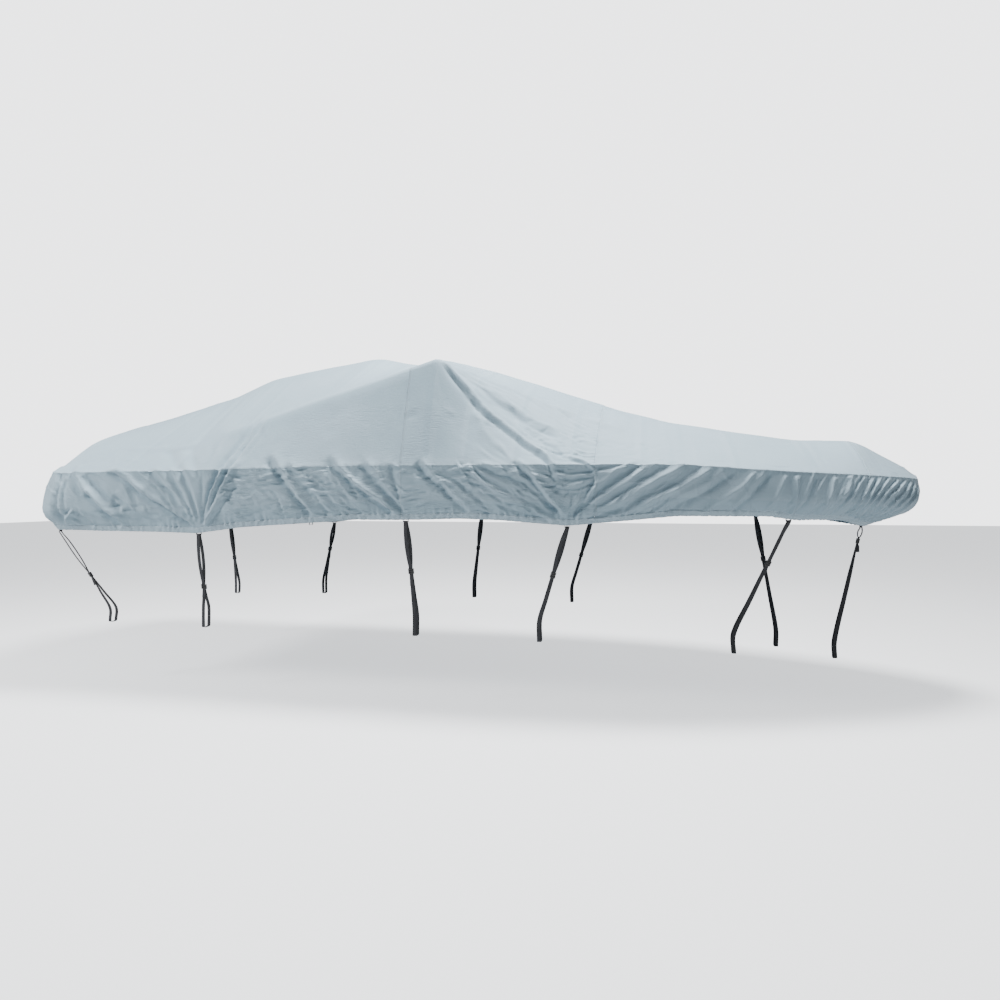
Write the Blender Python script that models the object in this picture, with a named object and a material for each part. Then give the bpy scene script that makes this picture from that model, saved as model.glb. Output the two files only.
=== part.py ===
"""Fitted boat cover, drawn down by webbing straps.

Lengths are in metres. The tables use the cutting room's axes: x runs from the stern
to the bow, y from the centreline to the far side, z up from the ground. The finished
part hangs from one empty that moves its origin to the mount under the top.

The cloth is one surface. A column runs round the cover at each station x: near hem,
near skirt, near rim crease, top, far rim crease, far skirt, far hem. Folds are added
to it in the cloth's own coordinates: a is the distance along the rim crease, and w is
the distance from that crease, up over the top or, where it is negative, down the skirt.
"""
import math

import bmesh
import bpy
import numpy as np
from mathutils import Matrix, Vector
from mathutils.bvhtree import BVHTree

# ---------------------------------------------------------------- driving sizes
LENGTH = 5.847              # stern to bow tip along the rim crease
HALF_BEAM = 1.050           # half the width at the rim crease
STERN_CORNER = 0.120        # corner radius of the stern in plan
BOW_START = 3.000           # station where the sides start to close in
RIM_POWER = 1.6             # fullness of the bow at the rim crease
HEM_POWER = 1.5             # fullness of the bow at the hem
HEM_INSET = 0.030           # hem drawn in under the rim crease
HEM_BOW_X = 5.515           # hem at the bow, aft of the bow tip
RAKE_START = 4.000          # station where the skirt starts to rake aft

CLOTH = 0.0016              # one layer of coated polyester, with its slack
HEM_CLOTH = 0.0032          # turned-up hem
PIECE_GAP = 0.0003          # between pieces that are sewn or bear on each other
MOUNT_X = 2.050             # the top rests on its support here, on the centreline
MOUNT_CLEARANCE = 0.0020    # draped cloth to what it lies over

RIDGE_SOFTNESS = 0.12       # rounding of the ridge on the centreline
WIDEST_SHOULDER = 0.86      # share of the half width that the shoulder keeps within
KNUCKLE_HEIGHT = 0.38       # the skirt stands out most at this share of its height
KNUCKLE_SOFTNESS = 0.12

# Heights above the ground along the cover: (x, z)
RIM_LINE = (
    (0.00, 1.486), (1.17, 1.498), (2.13, 1.516), (4.30, 1.512),
    (4.65, 1.486), (5.00, 1.468), (5.35, 1.456), (5.847, 1.437),
)
HEM_LINE = (
    (0.00, 1.094), (0.91, 1.086), (1.16, 1.080), (1.48, 1.123), (2.12, 1.165),
    (2.28, 1.179), (2.60, 1.178), (2.97, 1.189), (3.22, 1.182), (3.62, 1.150),
    (4.05, 1.189), (4.24, 1.208), (4.79, 1.206), (4.97, 1.181), (5.27, 1.177),
    (5.38, 1.150), (5.515, 1.125),
)
CENTRE_LINE = (
    (0.00, 1.921), (0.85, 2.146), (0.97, 2.196), (1.10, 2.251), (1.20, 2.280),
    (2.003, 2.397), (2.09, 2.395), (2.27, 2.351), (2.45, 2.325), (2.70, 2.335),
    (2.99, 2.257), (3.91, 1.945), (4.24, 1.853), (4.76, 1.764), (5.11, 1.709),
    (5.425, 1.703), (5.50, 1.677), (5.825, 1.486), (5.847, 1.437),
)
# The ridge between the top and its side slope: (x, half width, z, kink radius)
SHOULDER_LINE = (
    (0.00, 0.700, 1.715, 0.050), (0.30, 0.720, 1.705, 0.050), (0.60, 0.720, 1.712, 0.045),
    (1.00, 0.820, 1.682, 0.040), (1.25, 0.850, 1.745, 0.030), (1.42, 0.850, 1.803, 0.025),
    (2.77, 0.850, 2.205, 0.012), (3.00, 0.780, 2.060, 0.050), (3.30, 0.700, 1.940, 0.060),
    (3.63, 0.640, 1.830, 0.060), (4.05, 0.560, 1.740, 0.060), (4.60, 0.450, 1.660, 0.050),
    (5.11, 0.350, 1.620, 0.040), (5.43, 0.260, 1.605, 0.040), (5.847, 0.050, 1.450, 0.030),
)
# How far the skirt stands out beyond the line from hem to rim: (x, offset)
BELLY_LINE = (
    (0.00, 0.075), (0.30, 0.045), (0.90, 0.020), (4.40, 0.020), (5.00, 0.045),
    (5.40, 0.090), (5.75, 0.150), (5.847, 0.165),
)

# Main folds of a side. Each runs from (a, w) to (a, w) in the cloth, bowed sideways by
# bend, with its width at either end. height is the crest, or a trough where negative,
# and lean puts a lower partner on one side: 1 right of the run, -1 left, 0 neither.
FOLDS = (
    # start a, w     end a, w      bend    width  width  height  lean
    (0.10,  0.14,   0.14, -0.37,   0.030, 0.050, 0.026,   0.018,  1),
    (0.26,  0.00,   0.50, -0.34,   0.010, 0.050, 0.045,   0.021,  1),
    (0.36, -0.12,   0.20, -0.36,  -0.020, 0.032, 0.035,   0.018,  0),
    (0.50, -0.01,   1.13, -0.36,   0.020, 0.035, 0.030,  -0.024, -1),
    (0.74, -0.03,   1.15, -0.34,   0.010, 0.040, 0.026,  -0.012, -1),
    (1.04, -0.02,   1.18, -0.33,   0.000, 0.040, 0.026,  -0.011,  0),
    (1.43,  0.38,   1.22, -0.34,   0.020, 0.034, 0.026,  -0.018,  1),
    (1.52,  0.36,   1.27, -0.34,   0.020, 0.034, 0.028,  -0.015,  1),
    (0.80,  0.30,   1.02,  0.03,   0.010, 0.045, 0.035,  -0.009,  0),
    (1.58,  0.14,   2.00, -0.33,   0.020, 0.050, 0.035,  -0.024, -1),
    (2.06,  0.04,   2.50, -0.33,   0.010, 0.045, 0.035,  -0.024, -1),
    (2.40, -0.01,   2.58, -0.31,   0.000, 0.050, 0.030,  -0.012,  0),
    (2.68,  0.01,   2.98, -0.30,   0.010, 0.045, 0.035,  -0.015,  1),
    (3.02,  0.02,   3.50, -0.32,   0.020, 0.032, 0.030,  -0.018, -1),
    (3.30,  0.01,   3.59, -0.33,  -0.010, 0.040, 0.028,  -0.018,  1),
    (2.78,  0.70,   3.54, -0.13,   0.010, 0.050, 0.040,  -0.039, -1),
    (2.82,  0.66,   3.00,  0.05,   0.020, 0.070, 0.060,  -0.012,  0),
    (3.50,  0.07,   3.78, -0.05,   0.000, 0.040, 0.026,  -0.021,  1),
    (3.67, -0.31,   4.34, -0.01,   0.010, 0.038, 0.055,   0.024, -1),
    (3.66, -0.30,   3.96, -0.01,   0.010, 0.032, 0.035,   0.015,  1),
    (4.57, -0.03,   4.16, -0.27,   0.010, 0.050, 0.045,  -0.012,  1),
    (4.80, -0.02,   4.60, -0.28,   0.000, 0.045, 0.035,  -0.012,  1),
    (5.02, -0.02,   5.03, -0.28,   0.010, 0.034, 0.026,   0.012,  1),
    (5.26, -0.03,   5.26, -0.30,   0.010, 0.034, 0.030,   0.013,  1),
    (5.42, -0.03,   5.40, -0.32,   0.010, 0.032, 0.026,   0.013,  1),
    (5.55, -0.03,   5.66, -0.40,   0.010, 0.032, 0.026,   0.013,  1),
    (5.68, -0.03,   5.74, -0.42,   0.010, 0.032, 0.026,   0.013,  1),
    (5.82, -0.04,   5.86, -0.44,   0.010, 0.032, 0.026,   0.013,  1),
    (5.98, -0.05,   5.97, -0.45,   0.010, 0.032, 0.026,   0.013,  1),
)
FOLD_EASE = 0.14            # share of a fold's run over which it rises at either end
PARTNER_SHARE = 0.60        # height of a fold's partner
PARTNER_SHIFT = 1.70        # its distance, in fold widths
FAR_SIDE_SHARE = 0.85       # the far side's folds are a little softer
FAR_SIDE_SHIFT = 0.035      # and shifted along the rim

# Stations of the seams between the cloth panels, and how many columns each panel has
PANELS = (
    # name            from    to      columns (even)
    ("cover_aft",     0.000,  2.590,  56),
    ("cover_middle",  2.590,  3.780,  28),
    ("cover_fore",    3.780,  5.420,  30),
    ("cover_bow",     5.420,  LENGTH, 12),
)
TIE_STATIONS = (0.10, 1.17, 2.62, 3.62, 5.03)
TIE_CROWDING = 1.2          # extra columns near a tie
TIE_REACH = 0.12
SKIRT_ROWS = (0.0, 0.10, 0.26, 0.42, 0.60, 0.80, 1.0)
TOP_ROWS = (1.0, 0.955, 0.91, 0.86, 0.80, 0.71, 0.55, 0.38, 0.20, 0.0)

# ---------------------------------------------------------------- straps
WEBBING_WIDTH = 0.025
WEBBING = 0.0015
LOOP_DEPTH = 0.010          # the hem loop's webbing, across the cloth
LOOP_INNER = 0.032          # width inside the hem loop
LOOP_BEND = 0.0025          # radius of its lower corners
LOOP_DROP = 0.014           # how far it hangs below the hem
LOOP_OVERLAP = 0.025        # how far it is sewn up behind the hem
LOOP_WEBBING = 0.0018
SPARE_LOOP_INNER = 0.021
SPARE_LOOP_DROP = 0.014
BUCKLE_WIDTH = 0.034
BUCKLE_HEIGHT = 0.036
BUCKLE_DEPTH = 0.0150
BUCKLE_WALL = 0.0028
LAYER_STEP = 0.0030         # between the layers of webbing inside a buckle
FEELER = 0.120              # reach of the rays that find the hem's inner face
SEAT_GAP = 0.0004           # from there to the hem loop
LOOP_PLAY = 0.0005          # between the strap and the loop it turns over
TURN_STEP = math.radians(45)
SPLAY = 0.008               # sideways spread of the doubled run
SLACK = 0.006               # spread of the doubled run across the cloth
TAIL_CURL = 0.012
HOOK_BEND = 0.012           # corners of the loop under the anchorage

# Tie-down straps: the station on the hem, the place where the strap turns under its
# anchorage, the width and height of the loop there, the buckle's share of the run,
# the length of the free tail.
STRAPS = (
    # name               x      side  end x  end y   end z  wide   tall   buckle tail
    ("near_corner",      0.06,  -1,   0.30, -0.780,  0.420, 0.056, 0.100, 0.56, 0.070),
    ("near_quarter",     1.17,  -1,   1.11, -0.850,  0.425, 0.060, 0.130, 0.70, 0.060),
    ("near_middle",      2.62,  -1,   2.63, -0.850,  0.430, 0.060, 0.130, 0.52, 0.080),
    ("near_fore",        3.62,  -1,   3.43, -0.820,  0.420, 0.060, 0.130, 0.50, 0.085),
    ("near_bow_quarter", 5.03,  -1,   4.64, -0.350,  0.300, 0.060, 0.130, 0.36, 0.070),
    ("bow",              LENGTH, 0,   5.34,  0.000,  0.220, 0.080, 0.130, 0.12, 0.060),
    ("far_corner",       0.06,   1,   0.29,  0.780,  0.410, 0.056, 0.100, 0.60, 0.065),
    ("far_quarter",      1.17,   1,   1.15,  0.850,  0.425, 0.060, 0.130, 0.46, 0.070),
    ("far_middle",       2.62,   1,   2.59,  0.850,  0.430, 0.060, 0.130, 0.50, 0.060),
    ("far_fore",         3.62,   1,   3.46,  0.820,  0.420, 0.060, 0.130, 0.54, 0.075),
    ("far_bow_quarter",  5.03,   1,   5.00,  0.220,  0.240, 0.060, 0.130, 0.40, 0.080),
)
SPARE_LOOPS = (("spare_loop_near", 1.98, -1), ("spare_loop_far", 1.94, 1))

# ---------------------------------------------------------------- finishes
FINISHES = {
    # name             colour                 roughness
    "cover_cloth":    ((0.560, 0.610, 0.620), 0.80),
    "black_webbing":  ((0.020, 0.020, 0.024), 0.75),
    "buckle_plastic": ((0.015, 0.015, 0.017), 0.45),
}


# ================================================================ the cloth's form
def taut(x, line, column=1, radius=0.05):
    """Read a table along the cover: straight runs, with each corner rounded."""
    rows = np.array(line)
    x = np.asarray(x, float)
    shifts = np.linspace(-radius, radius, 9)
    samples = [np.interp(np.clip(x + s, 0, LENGTH), rows[:, 0], rows[:, column]) for s in shifts]
    return sum(samples)/len(samples)


def rim_z(x):
    return taut(x, RIM_LINE, radius=0.06)


def closing(x):
    """0 along the parallel sides, rising to 1 at the bow tip."""
    return np.clip((np.asarray(x, float) - BOW_START)/(LENGTH - BOW_START), 0, 1)


def corner_cut(x):
    """How much the rounded stern corner takes off the half width."""
    reach = np.clip(1 - np.asarray(x, float)/STERN_CORNER, 0, 1)
    return STERN_CORNER*(1 - np.sqrt(1 - reach**2))


def rim_half(x):
    return (HALF_BEAM - corner_cut(x))*(1 - closing(x)**2)**(1/RIM_POWER)


def hem_half(x):
    return (HALF_BEAM - HEM_INSET - corner_cut(x))*(1 - closing(x)**2)**(1/HEM_POWER)


def hem_x(x):
    """Where the column of station x meets the hem."""
    x = np.asarray(x, float)
    rake = np.clip((x - RAKE_START)/(LENGTH - RAKE_START), 0, 1)
    return x - (LENGTH - HEM_BOW_X)*rake**2


def soft_ramp(value, softness):
    """0 at 0 and 1 at 1, rounded at 0."""
    return (np.sqrt(value**2 + softness**2) - softness)/(math.sqrt(1 + softness**2) - softness)


def soft_min(p, q, radius):
    low = np.minimum(p, q)
    return low - radius*np.log(np.exp(-(p - low)/radius) + np.exp(-(q - low)/radius))


def top_z(x, u):
    """Height of the top at station x, with u 0 on the centreline and 1 at the rim."""
    centre, rim = taut(x, CENTRE_LINE), rim_z(x)
    kink = taut(x, SHOULDER_LINE, 3, 0.03)
    half = np.maximum(rim_half(x), 0.02)
    shoulder_u = np.minimum(taut(x, SHOULDER_LINE, 1, 0.03)/half, WIDEST_SHOULDER)
    chord = rim + (centre - rim)*(1 - shoulder_u)
    shoulder = np.maximum(taut(x, SHOULDER_LINE, 2, 0.03), rim + (chord - rim)*0.9)
    shoulder = np.minimum(shoulder, centre - 0.02*np.minimum(1, (centre - rim)/0.1))

    def deck(at):
        return centre + (shoulder - centre)*(
            soft_ramp(at, RIDGE_SOFTNESS)/soft_ramp(shoulder_u, RIDGE_SOFTNESS))

    def slope(at):
        return shoulder + (rim - shoulder)*(at - shoulder_u)/(1 - shoulder_u)

    def joined(at):
        return soft_min(deck(at), slope(at), kink)

    return joined(u) + (centre - joined(0.0))*(1 - u) + (rim - joined(1.0))*u


def outward(x):
    """Unit vector in plan, away from the cover, for the side where y is positive."""
    step = 1e-4
    high, low = np.minimum(x + step, LENGTH), np.maximum(x - step, 0)
    slope = (rim_half(high) - rim_half(low))/(high - low)
    size = np.sqrt(1 + slope**2)
    return -slope/size, 1/size


def knuckle(v):
    """Share of the belly at skirt height v, 0 at the hem and 1 at the rim."""
    rise = np.where(v < KNUCKLE_HEIGHT, v/KNUCKLE_HEIGHT, (1 - v)/(1 - KNUCKLE_HEIGHT))
    return 1 - soft_ramp(1 - rise, KNUCKLE_SOFTNESS)


def hem_z(x):
    return taut(hem_x(x), HEM_LINE, radius=0.03)


def skirt_point(x, v, side):
    out_x, out_y = outward(x)
    belly = taut(x, BELLY_LINE)*knuckle(v)
    return (
        hem_x(x) + (x - hem_x(x))*v + out_x*belly,
        side*(hem_half(x) + (rim_half(x) - hem_half(x))*v + out_y*belly),
        hem_z(x) + (rim_z(x) - hem_z(x))*v,
    )


def stern_point(u, v):
    belly = taut(0.0, BELLY_LINE)*knuckle(v)
    high = top_z(0.0, abs(u))
    return (
        hem_x(0.0)*(1 - v) - belly,
        u*(hem_half(0.0) + (rim_half(0.0) - hem_half(0.0))*v),
        hem_z(0.0) + (high - hem_z(0.0))*v,
    )


def top_point(x, u):
    return x, u*rim_half(x), top_z(x, abs(u))


def rim_arc():
    """The rim crease's stations and the distance along it, equal to x by the sides."""
    corner = STERN_CORNER*(1 - np.cos(np.linspace(0, math.pi/2, 60)))
    sides = np.linspace(STERN_CORNER, BOW_START, 400)
    bow = BOW_START + (LENGTH - BOW_START)*np.sin(np.linspace(0, math.pi/2, 1500))
    x = np.concatenate([corner, sides[1:], bow[1:]])
    run = np.concatenate([[0], np.cumsum(np.hypot(np.diff(x), np.diff(rim_half(x))))])
    return x, run + 1.0 - np.interp(1.0, x, run)


ARC_X, ARC_A = rim_arc()


# ================================================================ folds
def fold_height(a, w, fold, share=1.0, shift=0.0):
    """One fold's rise of the cloth at the points (a, w)."""
    a0, w0, a1, w1, bend, width0, width1, height, lean = fold
    start = np.array((a0 + shift, w0))
    run = np.array((a1 - a0, w1 - w0))
    length = np.hypot(*run)
    along = run/length
    across = np.array((-along[1], along[0]))
    offset = np.stack([a, w], -1) - start
    t = np.clip(offset @ along/length, 0, 1)
    width = width0 + (width1 - width0)*t
    past_end = offset @ along - t*length
    distance = offset @ across - bend*np.sin(math.pi*t)
    ease = np.clip(t/FOLD_EASE, 0, 1)*np.clip((1 - t)/FOLD_EASE, 0, 1)
    ease = ease*np.exp(-(past_end/width)**2)
    crest = np.exp(-(distance/width)**2)
    partner = np.exp(-((distance + lean*PARTNER_SHIFT*width)/width)**2)
    return share*height*ease*(crest - abs(lean)*PARTNER_SHARE*partner)


def folds_at(a, w, far):
    near_rise = sum(fold_height(a, w, fold) for fold in FOLDS)
    far_rise = sum(
        fold_height(a, w, fold, FAR_SIDE_SHARE, FAR_SIDE_SHIFT*math.sin(2.3*number))
        for number, fold in enumerate(FOLDS))
    return np.where(far, far_rise, near_rise)


# ================================================================ the cloth's mesh
class Surface:
    """The outer face of the whole cover, with each face marked by its panel."""

    def __init__(self):
        self.index = {}
        self.points = []
        self.cloth = []         # a, w and side of each point
        self.faces = []

    def add(self, key, point, a, w, far):
        if key not in self.index:
            self.index[key] = len(self.points)
            self.points.append(point)
            self.cloth.append((a, w, far))
        return self.index[key]

    def face(self, panel, *corners):
        corners = tuple(dict.fromkeys(corners))
        if len(corners) > 2:
            self.faces.append((panel, corners))

    def normals(self):
        points = np.array(self.points)
        total = np.zeros_like(points)
        for _, corners in self.faces:
            p, q, r = points[list(corners[:3])]
            normal = np.cross(q - p, r - p)
            if len(corners) == 4:
                s = points[corners[3]]
                normal = normal + np.cross(r - p, s - p)
            for corner in corners:
                total[corner] += normal
        return total/np.linalg.norm(total, axis=1, keepdims=True)

    def split_faces(self):
        """Split each four-sided face along its shorter diagonal."""
        points = np.array(self.points)
        halves = []
        for panel, corners in self.faces:
            if len(corners) == 3:
                halves.append((panel, corners))
                continue
            p, q, r, s = corners
            diagonals = [np.linalg.norm(points[i] - points[j]) for i, j in ((p, r), (q, s))]
            if diagonals[0] <= diagonals[1]:
                halves += [(panel, (p, q, r)), (panel, (p, r, s))]
            else:
                halves += [(panel, (p, q, s)), (panel, (q, r, s))]
        self.faces = halves


def panel_stations(start, end, count):
    """Stations of one panel's columns, closer together near a tie."""
    a0, a1 = np.interp([start, end], ARC_X, ARC_A)
    fine = np.linspace(a0, a1, 400)
    density = np.ones_like(fine)
    for tie in np.interp(TIE_STATIONS, ARC_X, ARC_A):
        density += TIE_CROWDING*np.exp(-((fine - tie)/TIE_REACH)**2)
    filled = np.concatenate([[0], np.cumsum((density[1:] + density[:-1])/2)])
    a = np.interp(np.linspace(0, filled[-1], count + 1), filled, fine)
    x = np.interp(a, ARC_A, ARC_X)
    x[0], x[-1] = start, end
    return x


def distances(points):
    steps = np.linalg.norm(np.diff(np.array(points, float), axis=0), axis=1)
    return np.concatenate([[0], np.cumsum(steps)])


def add_column(surface, column, x, with_top):
    """Add the points of one column, and return them from near hem to far hem."""
    a = float(np.interp(x, ARC_X, ARC_A))
    tip = x >= LENGTH
    skirt_rows, top_rows = [], []
    for side in (-1, 1):
        line = [tuple(map(float, skirt_point(x, v, 0 if tip else side))) for v in SKIRT_ROWS]
        w = distances(line) - distances(line)[-1]
        row_side = -1 if tip else side
        skirt_rows.append([
            surface.add(("skirt", column, row_side, row), p, a, depth, side > 0)
            for row, (p, depth) in enumerate(zip(line, w))])
    if with_top and not tip:
        half = [tuple(map(float, top_point(x, -u))) for u in TOP_ROWS]
        w = distances(half)
        near = [
            surface.add(("top", column, -1, row), half[row], a, w[row], False)
            for row in range(1, len(TOP_ROWS))]
        far = [
            surface.add(("top", column, 1, row), (half[row][0], -half[row][1], half[row][2]),
                        a, w[row], True)
            for row in range(1, len(TOP_ROWS) - 1)]
        top_rows = near + far[::-1]
    if tip:
        top_rows = [skirt_rows[0][-1]]*(2*len(TOP_ROWS) - 3)
    return skirt_rows[0], top_rows, skirt_rows[1]


def join_skirts(surface, panel, left, right, side):
    for low, high in zip(range(len(SKIRT_ROWS)), range(1, len(SKIRT_ROWS))):
        ring = (left[low], right[low], right[high], left[high])
        surface.face(panel, *(ring if side < 0 else ring[::-1]))


def join_tops(surface, panel, columns):
    """Join the tops of a wide pair of columns to the rim points of the three between."""
    first, middle, last = columns
    for edge, side in ((0, -1), (-1, 1)):
        rims = [column[0 if side < 0 else 2][-1] for column in (first, middle, last)]
        a, b = first[1][edge], last[1][edge]
        fans = ((rims[0], rims[1], a), (rims[1], b, a), (rims[1], rims[2], b))
        for fan in fans:
            surface.face(panel, *(fan if side < 0 else fan[::-1]))
    for row in range(len(first[1]) - 1):
        surface.face(panel, first[1][row], last[1][row], last[1][row + 1], first[1][row + 1])


def add_stern(surface, panel, corner_column):
    """The skirt across the stern, hung from the top's edge at station 0."""
    near, top, far = corner_column
    shares = [-u for u in TOP_ROWS] + [u for u in TOP_ROWS[-2::-1]]
    heads = [near[-1], *top, far[-1]]
    corner_a = float(ARC_A[0])
    columns = []
    for number, (u, head) in enumerate(zip(shares, heads)):
        if number in (0, len(shares) - 1):
            columns.append(near if number == 0 else far)
            continue
        line = [tuple(map(float, stern_point(u, v))) for v in SKIRT_ROWS]
        w = distances(line) - distances(line)[-1]
        a = corner_a - (1 - abs(u))*float(rim_half(0.0))
        low = [
            surface.add(("stern", number, row), line[row], a, w[row], u > 0)
            for row in range(len(SKIRT_ROWS) - 1)]
        columns.append([*low, head])
    for left, right in zip(columns[1:], columns):
        join_skirts(surface, panel, left, right, -1)


def build_surface():
    surface = Surface()
    seams = {}
    column = 0
    for panel, start, end, count in PANELS:
        stations = panel_stations(start, end, count)
        made = []
        for number, x in enumerate(stations):
            made.append(add_column(surface, column + number, x, number % 2 == 0))
        for left, right in zip(made, made[1:]):
            join_skirts(surface, panel, left[0], right[0], -1)
            join_skirts(surface, panel, left[2], right[2], 1)
        for number in range(0, count, 2):
            join_tops(surface, panel, made[number:number + 3])
        if start == 0:
            add_stern(surface, panel, made[0])
        seams[panel] = {
            "start": () if start == 0 else sum(made[0], []),
            "end": () if end == LENGTH else sum(made[-1], []),
        }
        column += count
    return surface, seams


def seam_directions(points, seam, normals):
    """Unit vectors along the cloth, square to the seam, at the seam's points."""
    line = points[list(seam)]
    along = np.gradient(line, axis=0)
    across = np.cross(along, normals[list(seam)])
    across = across/np.linalg.norm(across, axis=1, keepdims=True)
    return across*np.sign(across[:, :1])


def build_cloth(frame, finish):
    """Make each panel as a closed sheet, parted from the next by the seam's gap.

    Returns a tree of the inner face, for seating the hem loops.
    """
    surface, seams = build_surface()
    normals = surface.normals()
    a, w, far = (np.array(values) for values in zip(*surface.cloth))
    outer = np.array(surface.points) + normals*folds_at(a, w, far)[:, None]
    surface.points = list(outer)
    surface.split_faces()
    normals = surface.normals()
    depth = np.full(len(outer), CLOTH)
    for key, number in surface.index.items():
        if key[0] in ("skirt", "stern") and key[-1] == 0:
            depth[number] = HEM_CLOTH
    inner = outer - normals*depth[:, None]
    for panel, *_ in PANELS:
        faces = [corners for name, corners in surface.faces if name == panel]
        shift = np.zeros_like(outer)
        for end, sign in (("start", 1), ("end", -1)):
            seam = seams[panel][end]
            if seam:
                across = seam_directions(outer, seam, normals)
                shift[list(seam)] = sign*PIECE_GAP/2*across
        add_sheet(panel, outer + shift, inner + shift, faces, frame, finish)
    return BVHTree.FromPolygons(
        [tuple(map(float, p)) for p in inner], [corners for _, corners in surface.faces])


def add_sheet(name, outer, inner, faces, frame, finish):
    """A closed sheet from its outer and inner points and the outer faces."""
    used = sorted({corner for corners in faces for corner in corners})
    number = {old: new for new, old in enumerate(used)}
    count = len(used)
    outside = [tuple(number[corner] for corner in corners) for corners in faces]
    inside = [tuple(corner + count for corner in reversed(corners)) for corners in outside]
    edges = {}
    for corners in outside:
        for p, q in zip(corners, corners[1:] + corners[:1]):
            if (q, p) in edges:
                del edges[(q, p)]
            else:
                edges[(p, q)] = True
    rim = [(q, p, p + count, q + count) for p, q in edges]
    points = [*outer[used], *inner[used]]
    add_object(name, points, outside + inside + rim, frame, finish)


# ================================================================ objects
def new_finish(name):
    colour, roughness = FINISHES[name]
    material = bpy.data.materials.new(name)
    material.use_nodes = True
    shader = material.node_tree.nodes["Principled BSDF"]
    shader.inputs["Base Color"].default_value = (*colour, 1.0)
    shader.inputs["Roughness"].default_value = roughness
    shader.inputs["Metallic"].default_value = 0.0
    material.diffuse_color = (*colour, 1.0)
    return material


def new_mesh(name, points, faces):
    mesh = bpy.data.meshes.new(name)
    mesh.from_pydata([tuple(map(float, p)) for p in points], [], faces)
    work = bmesh.new()
    work.from_mesh(mesh)
    bmesh.ops.triangulate(work, faces=work.faces)
    work.to_mesh(mesh)
    work.free()
    return mesh


def place(name, mesh, frame, matrix=None):
    thing = bpy.data.objects.new(name, mesh)
    bpy.context.scene.collection.objects.link(thing)
    thing.parent = frame
    if matrix is not None:
        thing.matrix_basis = matrix
    return thing


def add_object(name, points, faces, frame, finish):
    mesh = new_mesh(name, points, faces)
    mesh.materials.append(finish)
    mesh.shade_smooth()
    return place(name, mesh, frame)


def ribbon(points, sides, width, thickness):
    """A flat strip along points, with its width along sides, as points and faces."""
    points = [Vector(p) for p in points]
    rings = []
    for number, point in enumerate(points):
        before = points[max(number - 1, 0)]
        after = points[min(number + 1, len(points) - 1)]
        along = (after - before).normalized()
        side = Vector(sides[number])
        side = (side - along*side.dot(along)).normalized()
        face = along.cross(side)
        reach = thickness/2
        if 0 < number < len(points) - 1:
            turn = (point - before).normalized().dot((after - point).normalized())
            reach /= max(math.sqrt((1 + turn)/2), 0.75)
        rings.append([
            point + side*(s*width/2) + face*(f*reach)
            for s, f in ((-1, -1), (1, -1), (1, 1), (-1, 1))])
    corners = [corner for ring in rings for corner in ring]
    faces = [(3, 2, 1, 0)]
    for ring in range(len(rings) - 1):
        base = 4*ring
        for k in range(4):
            j = (k + 1) % 4
            faces.append((base + k, base + j, base + 4 + j, base + 4 + k))
    last = 4*(len(rings) - 1)
    faces.append((last, last + 1, last + 2, last + 3))
    return corners, faces


# ================================================================ straps
def hem_frame(x, side, lining):
    """Matrix at the hem: X along the hem, Y out of the cover from the inner face, Z up."""
    if side == 0:
        origin, out = Vector((float(hem_x(x)), 0.0, float(hem_z(x)))), Vector((1, 0, 0))
    else:
        out_x, out_y = outward(x)
        origin = Vector((float(hem_x(x)), side*float(hem_half(x)), float(hem_z(x))))
        out = Vector((float(out_x), side*float(out_y), 0.0))
    along = out.cross(Vector((0, 0, 1)))
    up = Vector((0, 0, 1))
    depths = []
    for s in np.linspace(-LOOP_INNER/2 - LOOP_WEBBING, LOOP_INNER/2 + LOOP_WEBBING, 15):
        for h in LOOP_OVERLAP*np.linspace(0, 1, 200)**2:
            start = origin + along*float(s) + up*float(h) - out*FEELER
            hit = lining.ray_cast(start, out, 2*FEELER)
            if hit[0] is not None:
                depths.append(hit[3] - FEELER)
    frame = Matrix((along, out, up)).transposed().to_4x4()
    frame.translation = origin + out*(min(depths) - SEAT_GAP)
    return frame


def hem_loop_mesh(name, inner, drop):
    """A webbing loop behind the hem, bent about the axis that points out."""
    reach = (inner + LOOP_WEBBING)/2
    low = -drop + LOOP_WEBBING/2
    path = [(-reach, LOOP_OVERLAP), (-reach, low + LOOP_BEND)]
    path += [
        (-reach + LOOP_BEND*(1 - math.cos(t)), low + LOOP_BEND*(1 - math.sin(t)))
        for t in (math.pi/4, math.pi/2)]
    path += [(-p, q) for p, q in reversed(path)]
    points = [(p, -LOOP_DEPTH/2, q) for p, q in path]
    corners, faces = ribbon(points, [(0, 1, 0)]*len(points), LOOP_DEPTH, LOOP_WEBBING)
    return new_mesh(name, corners, faces)


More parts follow.
